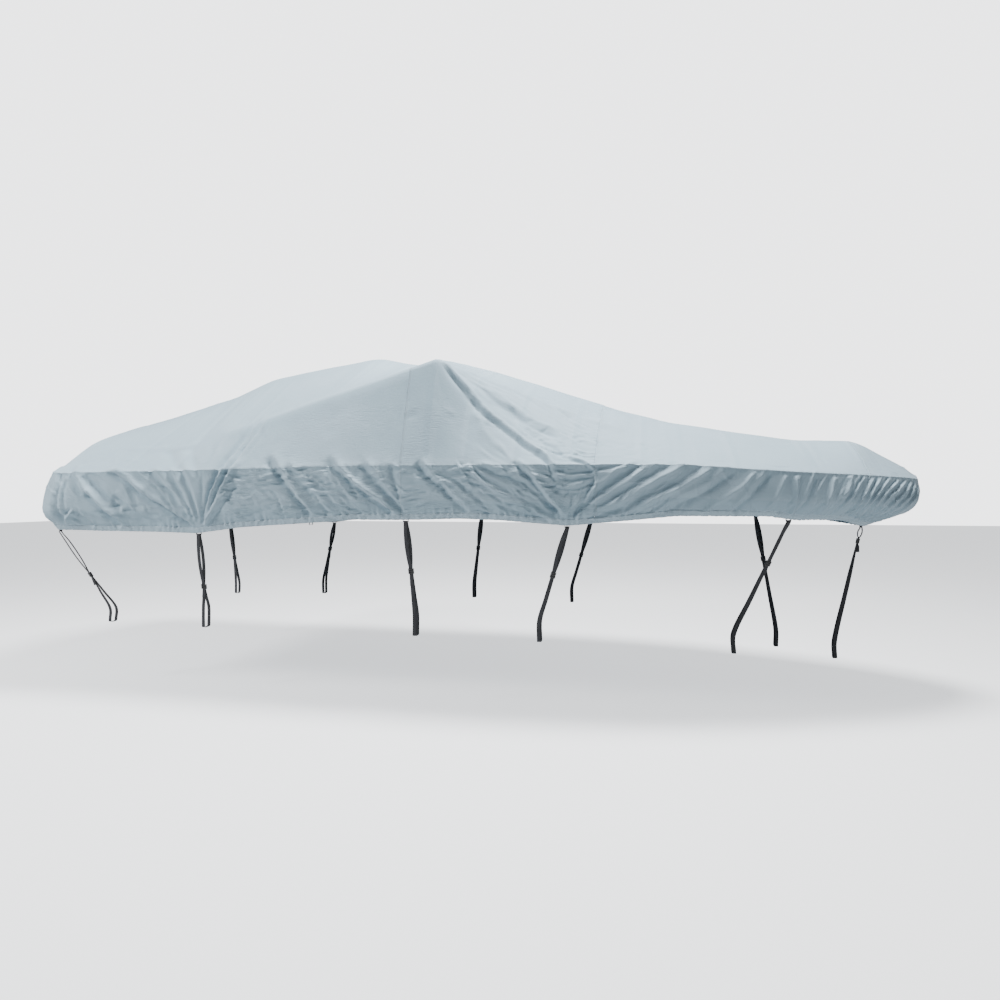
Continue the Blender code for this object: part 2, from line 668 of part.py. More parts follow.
def strap_path(hem, strap):
    """The strap's middle line and width directions, from the free tail to its other end."""
    _, _, side, end_x, end_y, end_z, wide, tall, buckle_share, tail = strap
    up = Vector((0, 0, 1))
    along, out = (Vector(hem.col[k][:3]) for k in (0, 1))
    bar = hem.translation - out*(LOOP_DEPTH/2) - up*(LOOP_DROP - LOOP_WEBBING/2)
    head = Vector((end_x, end_y, end_z + tall))
    hook = Vector((0, side, 0)) if side else out
    buckle = bar.lerp(head, buckle_share)
    run = (buckle - bar).normalized()
    lower = (head - buckle).normalized()
    upper_side = run.cross(out).normalized()
    lower_side = lower.cross(out + hook).normalized()
    flat_side = hook.cross(up)
    turn = (math.hypot(LOOP_DEPTH, LOOP_WEBBING)/2 + LOOP_PLAY + WEBBING/2)/math.cos(TURN_STEP/2)
    half_buckle = BUCKLE_HEIGHT/2
    path = []

    def add(point, side):
        path.append((point, side))

    def doubled(share, sign):
        middle = bar.lerp(buckle - run*half_buckle, share)
        spread = math.sin(math.pi*share)
        reach = turn + (LAYER_STEP/2 - turn)*share + SLACK*spread
        return middle + out*sign*reach + upper_side*sign*SPLAY*spread

    layer = out*LAYER_STEP
    foot = buckle + lower*half_buckle
    add(foot + lower*tail + out*(LAYER_STEP + TAIL_CURL), lower_side)
    add(foot + lower*tail*0.5 + out*(LAYER_STEP + TAIL_CURL*0.4), lower_side)
    add(foot + layer, upper_side)
    add(buckle - run*half_buckle + layer, upper_side)
    for share in (0.75, 0.5, 0.25):
        add(doubled(share, 1) + layer*share, upper_side)
    add(bar + out*turn - up*turn, along)
    for t in np.arange(0, math.pi + 0.01, TURN_STEP):
        add(bar + out*(turn*math.cos(t)) + up*(turn*math.sin(t)), along)
    add(bar - out*turn - up*turn, along)
    for share in (0.25, 0.5, 0.75):
        add(doubled(share, -1), upper_side)
    add(buckle - run*half_buckle, upper_side)
    add(foot, upper_side)
    reach = wide/2
    add(foot.lerp(head + hook*reach, 0.5), lower_side)
    add(head + hook*reach, flat_side)
    base = head - up*tall
    corner = reach - HOOK_BEND
    for sign in (1, -1):
        bend = [
            base + hook*sign*(corner + HOOK_BEND*math.cos(t)) + up*HOOK_BEND*(1 - math.sin(t))
            for t in (0, math.pi/4, math.pi/2)]
        for point in bend[::sign]:
            add(point, flat_side)
    add(head - hook*reach, flat_side)
    add(foot.lerp(head - hook*reach, 0.5) - layer/2, lower_side)
    add(foot - layer, upper_side)
    add(buckle - run*half_buckle*0.6 - layer, upper_side)
    return path, buckle, run, out


def buckle_mesh():
    """A ladder buckle as an open sleeve, lying along Z with its face to Y."""
    work = bmesh.new()
    rings = []
    for z in (-BUCKLE_HEIGHT/2, BUCKLE_HEIGHT/2):
        for wall in (0, BUCKLE_WALL):
            x, y = BUCKLE_WIDTH/2 - wall, BUCKLE_DEPTH/2 - wall
            rings.append([work.verts.new((p*x, q*y, z)) for p, q in ((-1, -1), (1, -1), (1, 1), (-1, 1))])
    low_out, low_in, high_out, high_in = rings
    for k in range(4):
        j = (k + 1) % 4
        work.faces.new((low_out[k], low_out[j], high_out[j], high_out[k]))
        work.faces.new((low_in[j], low_in[k], high_in[k], high_in[j]))
        work.faces.new((high_out[k], high_out[j], high_in[j], high_in[k]))
        work.faces.new((low_out[j], low_out[k], low_in[k], low_in[j]))
    bmesh.ops.triangulate(work, faces=work.faces)
    mesh = bpy.data.meshes.new("buckle")
    work.to_mesh(mesh)
    work.free()
    return mesh


def build_straps(frame, lining, webbing, plastic):
    loop = hem_loop_mesh("hem_loop", LOOP_INNER, LOOP_DROP)
    spare = hem_loop_mesh("spare_loop", SPARE_LOOP_INNER, SPARE_LOOP_DROP)
    buckle = buckle_mesh()
    for mesh, finish in ((loop, webbing), (spare, webbing), (buckle, plastic)):
        mesh.materials.append(finish)
    for strap in STRAPS:
        name, x, side = strap[:3]
        hem = hem_frame(x, side, lining)
        place("hem_loop_" + name, loop, frame, hem)
        path, middle, run, out = strap_path(hem, strap)
        points, sides = zip(*path)
        corners, faces = ribbon(points, sides, WEBBING_WIDTH, WEBBING)
        add_object("strap_" + name, corners, faces, frame, webbing)
        upright = Matrix((run.cross(out).normalized(), out, -run)).transposed()
        upright.col[1] = upright.col[2].cross(upright.col[0]).normalized()
        seat = Matrix.Translation(middle) @ upright.to_4x4()
        place("buckle_" + name, buckle, frame, seat)
    for name, x, side in SPARE_LOOPS:
        place(name, spare, frame, hem_frame(x, side, lining))


def main():
    for thing in list(bpy.data.objects):
        bpy.data.objects.remove(thing, do_unlink=True)
    frame = bpy.data.objects.new("cover_frame", None)
    bpy.context.scene.collection.objects.link(frame)
    mount_z = float(top_z(MOUNT_X, 0.0)) - CLOTH - MOUNT_CLEARANCE
    frame.location = (-MOUNT_X, 0.0, -mount_z)
    cloth, webbing, plastic = (new_finish(name) for name in FINISHES)
    lining = build_cloth(frame, cloth)
    build_straps(frame, lining, webbing, plastic)


main()
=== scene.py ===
import math

import bmesh
import bpy
import numpy as np
from mathutils import Matrix, Vector


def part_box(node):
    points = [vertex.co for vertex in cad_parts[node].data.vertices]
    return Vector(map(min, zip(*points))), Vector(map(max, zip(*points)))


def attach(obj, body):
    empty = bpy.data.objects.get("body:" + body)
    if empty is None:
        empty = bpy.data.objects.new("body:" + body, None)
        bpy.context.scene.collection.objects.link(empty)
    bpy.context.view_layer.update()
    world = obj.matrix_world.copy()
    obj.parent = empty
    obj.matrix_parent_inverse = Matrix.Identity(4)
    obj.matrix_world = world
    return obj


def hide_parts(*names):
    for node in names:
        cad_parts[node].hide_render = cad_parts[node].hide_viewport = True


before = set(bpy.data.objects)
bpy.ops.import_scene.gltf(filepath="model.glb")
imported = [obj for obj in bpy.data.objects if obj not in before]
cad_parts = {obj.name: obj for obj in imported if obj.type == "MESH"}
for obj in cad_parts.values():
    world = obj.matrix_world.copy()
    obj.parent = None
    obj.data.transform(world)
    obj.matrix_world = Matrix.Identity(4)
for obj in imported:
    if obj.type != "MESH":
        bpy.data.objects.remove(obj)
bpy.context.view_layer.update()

# ======== the cover's sizes, in metres
# Cutting axes: x from the stern to the bow, y to the far side, z up from the ground.
LENGTH = 5.847
HALF_BEAM = 1.050
STERN_CORNER = 0.120
BOW_START = 3.000
RIM_POWER = 1.6
HEM_POWER = 1.5
HEM_INSET = 0.030
HEM_BOW_X = 5.515
RAKE_START = 4.000
RIDGE_SOFTNESS = 0.08
WIDEST_SHOULDER = 0.86
SHOULDER_ROUNDING = 0.012
LEAST_HALF = 0.02                # of the top's width, where it closes at the bow
KNUCKLE_HEIGHT = 0.38
KNUCKLE_SOFTNESS = 0.40
MOUNT_X = 2.050

RIM_LINE = (                     # x, z
    (0.00, 1.486), (1.17, 1.498), (2.13, 1.516), (4.30, 1.512),
    (4.65, 1.486), (5.00, 1.468), (5.35, 1.456), (5.847, 1.437),
)
HEM_LINE = (                     # x, z
    (0.00, 1.094), (0.91, 1.086), (1.16, 1.080), (1.48, 1.123), (2.12, 1.165),
    (2.28, 1.179), (2.60, 1.178), (2.97, 1.189), (3.22, 1.182), (3.62, 1.150),
    (4.05, 1.189), (4.24, 1.208), (4.79, 1.206), (4.97, 1.181), (5.27, 1.177),
    (5.38, 1.150), (5.515, 1.125),
)
CENTRE_LINE = (                  # x, z
    (0.00, 1.921), (0.85, 2.146), (0.97, 2.196), (1.10, 2.251), (1.20, 2.280),
    (2.003, 2.397), (2.09, 2.395), (2.27, 2.351), (2.45, 2.325), (2.70, 2.335),
    (2.99, 2.257), (3.91, 1.945), (4.24, 1.853), (4.76, 1.764), (5.11, 1.709),
    (5.425, 1.703), (5.50, 1.677), (5.825, 1.486), (5.847, 1.437),
)
SHOULDER_LINE = (                # x, half width, z, kink radius
    (0.00, 0.700, 1.715, 0.050), (0.30, 0.720, 1.705, 0.050), (0.60, 0.720, 1.712, 0.045),
    (1.00, 0.820, 1.682, 0.024), (1.25, 0.850, 1.745, 0.010), (1.42, 0.850, 1.803, 0.006),
    (2.77, 0.850, 2.205, 0.004), (3.00, 0.780, 2.060, 0.050), (3.30, 0.700, 1.940, 0.060),
    (3.63, 0.640, 1.830, 0.060), (4.05, 0.560, 1.740, 0.060), (4.60, 0.450, 1.660, 0.050),
    (5.11, 0.350, 1.620, 0.040), (5.43, 0.260, 1.605, 0.040), (5.847, 0.050, 1.450, 0.030),
)
BELLY_LINE = (                   # x, how far the skirt stands out
    (0.00, 0.075), (0.30, 0.045), (0.90, 0.020), (4.40, 0.020), (5.00, 0.045),
    (5.40, 0.090), (5.75, 0.150), (5.847, 0.165),
)

# Folds, in cloth coordinates: a runs along the rim crease and w away from it,
# up over the top or, where negative, down the skirt. Each has its path, its width at
# both ends, its height (a trough where negative) and the side its partner lies on.
STERN_FOLDS = (
    (((-0.07, -0.02), (-0.05, -0.16), (0.02, -0.36)), 0.024, 0.018, -0.009, 1),
    (((-0.28, -0.03), (-0.19, -0.22), (-0.03, -0.44)), 0.032, 0.022, -0.011, 1),
    (((-0.58, -0.04), (-0.40, -0.30), (-0.10, -0.56)), 0.040, 0.026, -0.011, -1),
    (((-0.95, -0.06), (-0.72, -0.38), (-0.30, -0.66)), 0.050, 0.030, -0.010, 1),
    (((-0.98, -0.40), (-0.76, -0.58), (-0.48, -0.74)), 0.040, 0.030, -0.007, 1),
    (((0.12, 0.02), (0.13, -0.10), (0.12, -0.20), (0.14, -0.33)), 0.016, 0.020, -0.008, 1),
    (((0.17, -0.05), (0.17, -0.20), (0.20, -0.31)), 0.014, 0.018, -0.006, 1),
    (((0.05, 0.10), (0.04, -0.08), (0.02, -0.22), (0.06, -0.36)), 0.030, 0.022, 0.010, 0),
    (((0.20, 0.12), (0.24, 0.02), (0.34, -0.10), (0.47, -0.22), (0.62, -0.33)), 0.030, 0.026, 0.012, 1),
    (((0.30, -0.03), (0.39, -0.09), (0.50, -0.18), (0.62, -0.26)), 0.030, 0.024, -0.014, 1),
    (((0.33, -0.14), (0.42, -0.22), (0.50, -0.30), (0.60, -0.37)), 0.018, 0.024, -0.014, -1),
    (((0.25, -0.27), (0.20, -0.31), (0.17, -0.37)), 0.014, 0.022, 0.014, 1),
    (((0.27, -0.28), (0.33, -0.33), (0.38, -0.38)), 0.012, 0.014, -0.008, -1),
    (((0.50, 0.00), (0.64, -0.07), (0.76, -0.165), (0.91, -0.24), (1.03, -0.32), (1.14, -0.385)),
     0.026, 0.014, -0.019, -1),
    (((0.46, 0.05), (0.58, -0.01), (0.70, -0.09), (0.80, -0.16)), 0.030, 0.020, 0.008, 0),
    (((0.55, -0.16), (0.66, -0.24), (0.76, -0.31), (0.90, -0.36)), 0.024, 0.020, -0.010, -1),
    (((0.80, 0.02), (0.88, -0.06), (1.00, -0.18), (1.12, -0.33)), 0.028, 0.016, -0.010, -1),
    (((0.93, 0.03), (1.00, -0.06), (1.08, -0.18), (1.15, -0.34)), 0.022, 0.014, -0.009, -1),
    (((1.05, 0.01), (1.11, -0.10), (1.16, -0.22), (1.18, -0.35)), 0.024, 0.014, -0.008, -1),
    (((1.22, -0.02), (1.22, -0.16), (1.20, -0.34)), 0.018, 0.012, -0.005, 0),
    (((1.50, 0.46), (1.43, 0.24), (1.36, 0.06), (1.30, -0.08), (1.25, -0.22), (1.20, -0.37)),
     0.026, 0.014, -0.015, -1),
    (((1.56, 0.44), (1.49, 0.24), (1.42, 0.06), (1.36, -0.09), (1.29, -0.23), (1.22, -0.36)),
     0.022, 0.014, -0.014, -1),
    (((1.44, 0.12), (1.39, 0.01), (1.33, -0.08), (1.27, -0.20), (1.21, -0.34)), 0.013, 0.010, 0.009, 0),
    (((1.50, 0.08), (1.43, -0.04), (1.35, -0.14), (1.29, -0.25),
      (1.24, -0.35)), 0.014, 0.010, 0.009, 0),
    (((1.48, -0.10), (1.40, -0.20), (1.30, -0.31), (1.24, -0.37)), 0.020, 0.012, -0.008, 1),
    (((0.74, 0.34), (0.86, 0.20), (0.98, 0.07), (1.08, -0.02)), 0.040, 0.030, -0.008, 0),
    (((0.96, 0.30), (1.05, 0.17), (1.14, 0.05), (1.20, -0.06)), 0.036, 0.026, -0.006, 1),
    (((0.40, 0.36), (0.62, 0.33), (0.84, 0.30), (1.02, 0.30)), 0.040, 0.030, 0.007, 0),
    (((1.66, 0.07), (1.74, -0.01), (1.80, -0.10), (1.86, -0.17), (1.93, -0.25), (2.00, -0.32)),
     0.028, 0.022, -0.019, -1),
    (((1.80, 0.02), (1.90, -0.07), (2.00, -0.18), (2.12, -0.30)), 0.024, 0.020, -0.008, -1),
    (((2.09, 0.04), (2.17, -0.03), (2.28, -0.12), (2.38, -0.19), (2.46, -0.25), (2.55, -0.31)),
     0.024, 0.018, -0.018, -1),
    (((2.14, 0.00), (2.24, -0.06), (2.35, -0.13), (2.47, -0.21),
      (2.58, -0.30)), 0.015, 0.012, 0.010, 0),
    (((2.32, 0.00), (2.42, -0.09), (2.52, -0.19), (2.60, -0.29)), 0.030, 0.016, -0.012, -1),
    (((2.53, 0.00), (2.57, -0.14), (2.60, -0.30)), 0.026, 0.016, -0.009, 0),
)
BOW_FOLDS = (
    (((2.70, 0.02), (2.77, -0.07), (2.87, -0.15), (2.94, -0.22),
      (3.03, -0.29)), 0.024, 0.020, -0.013, -1),
    (((2.85, -0.04), (2.96, -0.10), (3.08, -0.20), (3.16, -0.28)), 0.018, 0.016, -0.006, 1),
    (((3.02, 0.01), (3.05, -0.03), (3.10, -0.09), (3.20, -0.15), (3.32, -0.21), (3.44, -0.28),
      (3.56, -0.33)),
     0.012, 0.013, 0.009, -1),
    (((3.08, -0.01), (3.22, -0.06), (3.33, -0.10), (3.43, -0.17), (3.52, -0.25), (3.60, -0.32)),
     0.020, 0.014, -0.010, -1),
    (((3.30, 0.02), (3.38, -0.06), (3.44, -0.13), (3.50, -0.21),
      (3.58, -0.29)), 0.020, 0.014, -0.014, -1),
    (((3.12, -0.17), (3.24, -0.19), (3.33, -0.215), (3.44, -0.28)), 0.012, 0.012, -0.007, 0),
    (((3.24, -0.27), (3.38, -0.30), (3.52, -0.335)), 0.014, 0.012, -0.006, 1),
    (((2.765, 0.735), (2.89, 0.59), (3.05, 0.40), (3.19, 0.29), (3.35, 0.155), (3.48, 0.04),
      (3.56, -0.10)),
     0.017, 0.014, -0.009, 0),
    (((2.780, 0.745), (2.925, 0.60), (3.085, 0.42), (3.225, 0.31), (3.385, 0.175), (3.51, 0.055),
      (3.58, -0.06)),
     0.016, 0.014, 0.011, 0),
    (((2.82, 0.74), (2.96, 0.64), (3.16, 0.50), (3.36, 0.36), (3.56, 0.25)), 0.030, 0.040, -0.008, -1),
    (((3.10, 0.50), (3.30, 0.36), (3.46, 0.20), (3.58, 0.08)), 0.028, 0.024, -0.006, 1),
    (((2.84, 0.80), (3.10, 0.76), (3.50, 0.62), (3.95, 0.50)), 0.040, 0.060, 0.009, 0),
    (((3.02, 0.40), (3.10, 0.25), (3.22, 0.12), (3.30, 0.01)), 0.040, 0.030, 0.006, 0),
    (((3.54, -0.03), (3.62, -0.05), (3.70, -0.05), (3.785, -0.045)), 0.013, 0.010, -0.009, 1),
    (((3.62, 0.08), (3.70, 0.04), (3.75, 0.00), (3.785, -0.03)), 0.015, 0.009, 0.009, 1),
    (((3.60, -0.09), (3.68, -0.095), (3.79, -0.075)), 0.012, 0.009, -0.006, 1),
    (((3.52, -0.12), (3.60, -0.15), (3.68, -0.15), (3.78, -0.11)), 0.012, 0.010, -0.006, -1),
    (((3.54, -0.16), (3.62, -0.18), (3.70, -0.17), (3.77, -0.14)), 0.012, 0.010, -0.005, -1),
    (((3.66, -0.32), (3.70, -0.24), (3.74, -0.17), (3.79, -0.08)), 0.012, 0.010, -0.008, 1),
    (((3.65, -0.31), (3.75, -0.22), (3.86, -0.12), (3.95, -0.05),
      (4.06, 0.00)), 0.018, 0.022, -0.009, -1),
    (((3.67, -0.31), (3.81, -0.21), (3.92, -0.13), (4.02, -0.07),
      (4.16, 0.01)), 0.014, 0.022, 0.008, -1),
    (((3.69, -0.32), (3.83, -0.26), (4.00, -0.18), (4.16, -0.08),
      (4.32, 0.00)), 0.018, 0.030, 0.011, -1),
    (((3.80, -0.33), (3.96, -0.28), (4.12, -0.21), (4.28, -0.13)), 0.016, 0.026, 0.007, -1),
    (((3.80, -0.03), (3.88, -0.015), (3.98, 0.005)), 0.014, 0.014, -0.007, 1),
    (((4.48, -0.01), (4.34, -0.10), (4.20, -0.17), (4.02, -0.25)), 0.022, 0.020, 0.008, 1),
    (((4.62, -0.02), (4.50, -0.11), (4.36, -0.20), (4.20, -0.28)), 0.026, 0.026, -0.009, 1),
    (((4.74, -0.01), (4.64, -0.12), (4.50, -0.22), (4.40, -0.29)), 0.020, 0.020, 0.007, 0),
    (((4.84, -0.01), (4.76, -0.12), (4.64, -0.27)), 0.026, 0.024, -0.009, 1),
    (((4.93, -0.02), (4.90, -0.14), (4.84, -0.28)), 0.018, 0.018, 0.006, 0),
    (((5.00, -0.02), (5.03, -0.14), (5.05, -0.28)), 0.018, 0.016, 0.008, 1),
    (((5.14, -0.02), (5.12, -0.14), (5.08, -0.28)), 0.022, 0.016, -0.007, 1),
    (((5.26, -0.02), (5.26, -0.15), (5.29, -0.30)), 0.020, 0.020, 0.007, 1),
    (((5.36, -0.01), (5.38, -0.06), (5.36, -0.16)), 0.016, 0.018, 0.008, 0),
    (((5.48, -0.01), (5.44, -0.11), (5.40, -0.20), (5.40, -0.30)), 0.010, 0.010, 0.0068, 1),
    (((5.55, -0.02), (5.52, -0.12), (5.51, -0.20), (5.55, -0.33)), 0.010, 0.010, 0.0068, 1),
    (((5.62, -0.01), (5.57, -0.11), (5.56, -0.20), (5.62, -0.36)), 0.010, 0.010, 0.0068, 1),
    (((5.70, -0.01), (5.63, -0.11), (5.60, -0.22), (5.70, -0.38)), 0.010, 0.010, 0.0068, 1),
    (((5.79, -0.02), (5.70, -0.11), (5.65, -0.21), (5.78, -0.41)), 0.010, 0.010, 0.0068, 1),
    (((5.88, -0.02), (5.79, -0.10), (5.71, -0.20), (5.85, -0.44)), 0.010, 0.010, 0.0068, 1),
    (((5.95, -0.03), (5.86, -0.12), (5.78, -0.22), (5.91, -0.45)), 0.010, 0.010, 0.0068, 1),
    (((6.02, -0.03), (5.93, -0.13), (5.86, -0.24), (5.96, -0.46)), 0.010, 0.010, 0.0068, 1),
    (((6.09, -0.04), (6.01, -0.14), (5.94, -0.25), (6.02, -0.46)), 0.010, 0.010, 0.0068, 1),
)
FOLD_EASE = 0.12
CREST_SOFTNESS = 0.12
PARTNER_SHARE = 0.55
PARTNER_SHIFT = 1.7
FAR_SIDE_SHARE = 0.85
FAR_SIDE_SHIFT = 0.015
FAR_SIDE_WAVE = 1.2              # radians to the metre
FOLD_PHASE = 1.3                 # from one fold's sway to the next
PEAK_FOLD_A = 2.770              # where the peak's long fold starts, which stays in its place
FOLD_GAIN = 2.0
WRINKLE_GAIN = 3.5
BOW_CALM = 0.03                  # how far before the bow's end the folds die out
# Smoothing passes and depth of the painted shade in the fold troughs and the painted highlight on the
# crests.
PAINTED_SHADE_PASSES, PAINTED_SHADE_DEPTH = 14, 0.003

# Places where short wrinkles gather: start and end of a, start and end of w, how many to
# the square metre, the direction they run in from the a axis in degrees, its spread,
# their length and their height.
WRINKLES = (
    (0.10, 1.10, -0.34, -0.02, 110, -38, 12, 0.130, 0.0026),
    (0.40, 1.15, -0.36, -0.20, 170, -14, 16, 0.075, 0.0028),
    (1.28, 2.10, -0.32, -0.02, 260,  -6, 12, 0.100, 0.0026),
    (1.95, 2.55, -0.34, -0.06, 240, -14, 14, 0.095, 0.0028),
    (1.60, 2.60, -0.30,  0.03,  60, -42, 10, 0.130, 0.0024),
    (2.60, 3.05, -0.28, -0.02, 260,  -4, 12, 0.090, 0.0026),
    (2.98, 3.55, -0.30, -0.03, 240, -22, 14, 0.095, 0.0030),
    (3.50, 3.79, -0.20, -0.03, 200,   4, 14, 0.070, 0.0022),
    (3.60, 3.80, -0.30, -0.14, 220,  62, 16, 0.060, 0.0020),
    (3.80, 4.25, -0.30, -0.05, 160,  32, 12, 0.090, 0.0022),
    (4.20, 5.00, -0.30, -0.03,  50,  74, 24, 0.090, 0.0012),
    (5.00, 5.50, -0.32, -0.02, 110,  86, 14, 0.100, 0.0018),
    (5.50, 6.17, -0.42, -0.02, 130,  92, 10, 0.110, 0.0016),
    (-0.90, 0.10, -0.36, -0.03, 60,  84, 24, 0.120, 0.0020),
    (-1.05, 0.00, -0.74, -0.10, 40, -46, 18, 0.160, 0.0022),
    (0.00, 1.60,  0.02,  0.40,  28, -50, 22, 0.150, 0.0022),
    (1.30, 1.62,  0.02,  0.45,  40,  72, 10, 0.160, 0.0020),
    (1.40, 2.60,  0.25,  0.60,  26,   6, 12, 0.170, 0.0014),
    (1.60, 2.75,  0.02,  0.40,  22,  -8, 26, 0.130, 0.0012),
    (2.80, 3.30,  0.05,  0.45,  20, -40, 12, 0.220, 0.0010),
    (3.00, 3.75,  0.25,  0.80,  60, -34, 10, 0.210, 0.0022),
    (3.40, 3.78,  0.05,  0.30,  90, -26, 16, 0.110, 0.0026),
    (3.40, 4.20,  0.04,  0.34,  80,  -6, 20, 0.100, 0.0024),
    (0.20, 3.00,  0.60,  1.20,   5,   0, 40, 0.180, 0.0012),
    (4.00, 5.50,  0.04,  0.60,  10,  10, 40, 0.140, 0.0012),
    (5.45, 6.05,  0.02,  0.24,  60, -22, 10, 0.180, 0.0010),
)
WRINKLE_WIDTH = 0.0070
WRINKLE_CROWD = 2.6
NEAR_SEED, FAR_SEED = 11, 23

AFT_SEAM, FORE_SEAM, BOW_SEAM = 2.590, 3.780, 5.420
DART = 3.000
PANELS = (                       # piece, node, from, to, column step
    ("aft_cloth", "cover_aft", 0.000, AFT_SEAM, 0.0172),
    ("middle_cloth", "cover_middle", AFT_SEAM, FORE_SEAM, 0.0120),
    ("fore_cloth", "cover_fore", FORE_SEAM, BOW_SEAM, 0.0130),
    ("bow_cloth", "cover_bow", BOW_SEAM, LENGTH, 0.0110),
)
SHEET = 0.0012
SEAM_GAP = 0.0004
SEAM_STEPS = (0.005, 0.0105, 0.019)
HEM_BAND = 0.036
HEM_STEPS = (0.0, 0.003, 0.008, 0.015, 0.022, 0.029, 0.0335, 0.036, 0.0385, 0.043, 0.050, 0.059)
RIM_STEPS = (0.021, 0.0145, 0.0095, 0.006, 0.003)
SKIRT_MIDDLE_ROWS = 34
TOP_STEPS = (0.003, 0.0065, 0.011, 0.018)
NEAR_TOP_ROWS, FAR_TOP_ROWS = 84, 36
FINE_TOP = "middle_cloth"        # the panel whose near top keeps every row and column
TOP_GRADING = 0.55
HEM_TURN = 0.0032
HEM_ROLL, HEM_ROLL_FOOT, HEM_ROLL_SIDE = 0.0009, 0.0011, 0.0007
BEHIND_HEM_ROWS = (2, 5, 7)      # rows of the skirt that the turned-up hem runs up behind
HEM_ROWS = 8                     # rows of the skirt that lie on the hem band
HEM_STITCHES = (6, 1)            # rows of the skirt that carry stitching
RIM_STITCH = 2                   # rows from the rim crease to its stitching
SEAM_STITCHES = (2, 4)           # columns from a seam to its stitching
STITCH_LIFT = 0.0005
STITCH_PITCH = 0.0052
BEHIND_HEM_W = -0.4              # where the hem's inner face reads its weave

# How far sewing lifts the cloth, each where its name says.
HEM_RISE, HEM_DIP, HEM_PUCKER, HEM_WAVE = 0.0024, 0.0026, 0.0085, 0.0026
RIM_RISE, RIM_LAP, RIM_PUCKER = 0.0016, 0.0007, 0.0010
SEAM_LAP, SEAM_DIP, SEAM_PUCKER = 0.0011, 0.0008, 0.0013
DART_PUCKER, DART_DIP = 0.0009, 0.0012

WEBBING_WIDTH = 0.025
WEBBING = 0.0015
LOOP_DEPTH = 0.010
LOOP_INNER = 0.032
LOOP_BEND = 0.0025
LOOP_DROP = 0.014
LOOP_OVERLAP = 0.025
LOOP_WEBBING = 0.0018
SPARE_LOOP_INNER = 0.021
BUCKLE_WIDTH = 0.034
BUCKLE_HEIGHT = 0.036
BUCKLE_DEPTH = 0.0150
CHEEK = 0.0034
BAR_DEPTH = 0.0027
BAR_INSET = 0.001
BUCKLE_BARS = (                  # from, to, up from the buckle's middle, and which face
    (-0.0165, -0.0105, "front"), (-0.0030, 0.0035, "front"), (0.0095, 0.0170, "front"),
    (-0.0170, -0.0090, "back"), (0.0060, 0.0140, "back"),
)
GRIP_RIBS, RIB_START, RIB_PITCH, RIB_HEIGHT = 3, 0.0102, 0.0022, 0.0009
RIB_SPAN, RIB_ROOT, RIB_RISE = 0.7, 0.0004, 0.0005
CHEEK_BEVEL, BAR_BEVEL, RIB_BEVEL = 0.0011, 0.0008, 0.0002

# The finished webbing's share of its solid's thickness, in a strap and in a loop, and of a
# loop's depth, and how far the ridges that run along a strap's webbing stand out.
STRAP_THIN, LOOP_THIN, LOOP_SHARE = 0.90, 0.96, 0.98
WEBBING_RIDGE = 0.0001

LAYER_STEP = 0.0030
LOOP_PLAY = 0.0005
TURN_STEP = math.radians(45)
SPLAY = 0.008
SLACK = 0.006
TAIL_CURL = 0.012
HOOK_BEND = 0.012
BOW_STRAP_FOOT = 0.220
STRAPS = (
    # name               x      side  end x  end y   end z  wide   tall   buckle tail
    ("near_corner",      0.06,  -1,   0.30, -0.780,  0.420, 0.056, 0.100, 0.56, 0.070),
    ("near_quarter",     1.17,  -1,   1.11, -0.850,  0.425, 0.060, 0.130, 0.70, 0.060),
    ("near_middle",      2.62,  -1,   2.63, -0.850,  0.430, 0.060, 0.130, 0.52, 0.080),
    ("near_fore",        3.62,  -1,   3.43, -0.820,  0.420, 0.060, 0.130, 0.50, 0.085),
    ("near_bow_quarter", 5.03,  -1,   4.64, -0.350,  0.300, 0.060, 0.130, 0.36, 0.070),
    ("bow",              LENGTH, 0,   5.34,  0.000,  BOW_STRAP_FOOT, 0.038, 0.130, 0.12, 0.060),
    ("far_corner",       0.06,   1,   0.29,  0.780,  0.410, 0.056, 0.100, 0.60, 0.065),
    ("far_quarter",      1.17,   1,   1.15,  0.850,  0.425, 0.060, 0.130, 0.46, 0.070),
    ("far_middle",       2.62,   1,   2.59,  0.850,  0.430, 0.060, 0.130, 0.50, 0.060),
    ("far_fore",         3.62,   1,   3.46,  0.820,  0.420, 0.060, 0.130, 0.54, 0.075),
    ("far_bow_quarter",  5.03,   1,   5.00,  0.220,  0.240, 0.060, 0.130, 0.40, 0.080),
)
SPARE_LOOPS = (("spare_loop_near", 1.98, -1), ("spare_loop_far", 1.94, 1))

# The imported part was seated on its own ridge, so its height is read back from a strap's foot.
MOUNT_Z = BOW_STRAP_FOOT - WEBBING/2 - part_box("strap_bow")[0][2]


# ======== the cloth's form
def taut(x, line, column=1, radius=0.05):
    """Read a line's table, with straight runs and rounded corners."""
    rows = np.array(line)
    x = np.asarray(x, float)
    shifts = np.linspace(-radius, radius, 9)
    samples = [np.interp(np.clip(x + s, 0, LENGTH), rows[:, 0], rows[:, column]) for s in shifts]
    return sum(samples)/len(samples)


def rim_z(x):
    return taut(x, RIM_LINE, radius=0.06)


def closing(x):
    return np.clip((np.asarray(x, float) - BOW_START)/(LENGTH - BOW_START), 0, 1)


def corner_cut(x):
    reach = np.clip(1 - np.asarray(x, float)/STERN_CORNER, 0, 1)
    return STERN_CORNER*(1 - np.sqrt(1 - reach**2))


def rim_half(x):
    return (HALF_BEAM - corner_cut(x))*(1 - closing(x)**2)**(1/RIM_POWER)


def hem_half(x):
    return (HALF_BEAM - HEM_INSET - corner_cut(x))*(1 - closing(x)**2)**(1/HEM_POWER)


def hem_x(x):
    x = np.asarray(x, float)
    rake = np.clip((x - RAKE_START)/(LENGTH - RAKE_START), 0, 1)
    return x - (LENGTH - HEM_BOW_X)*rake**2


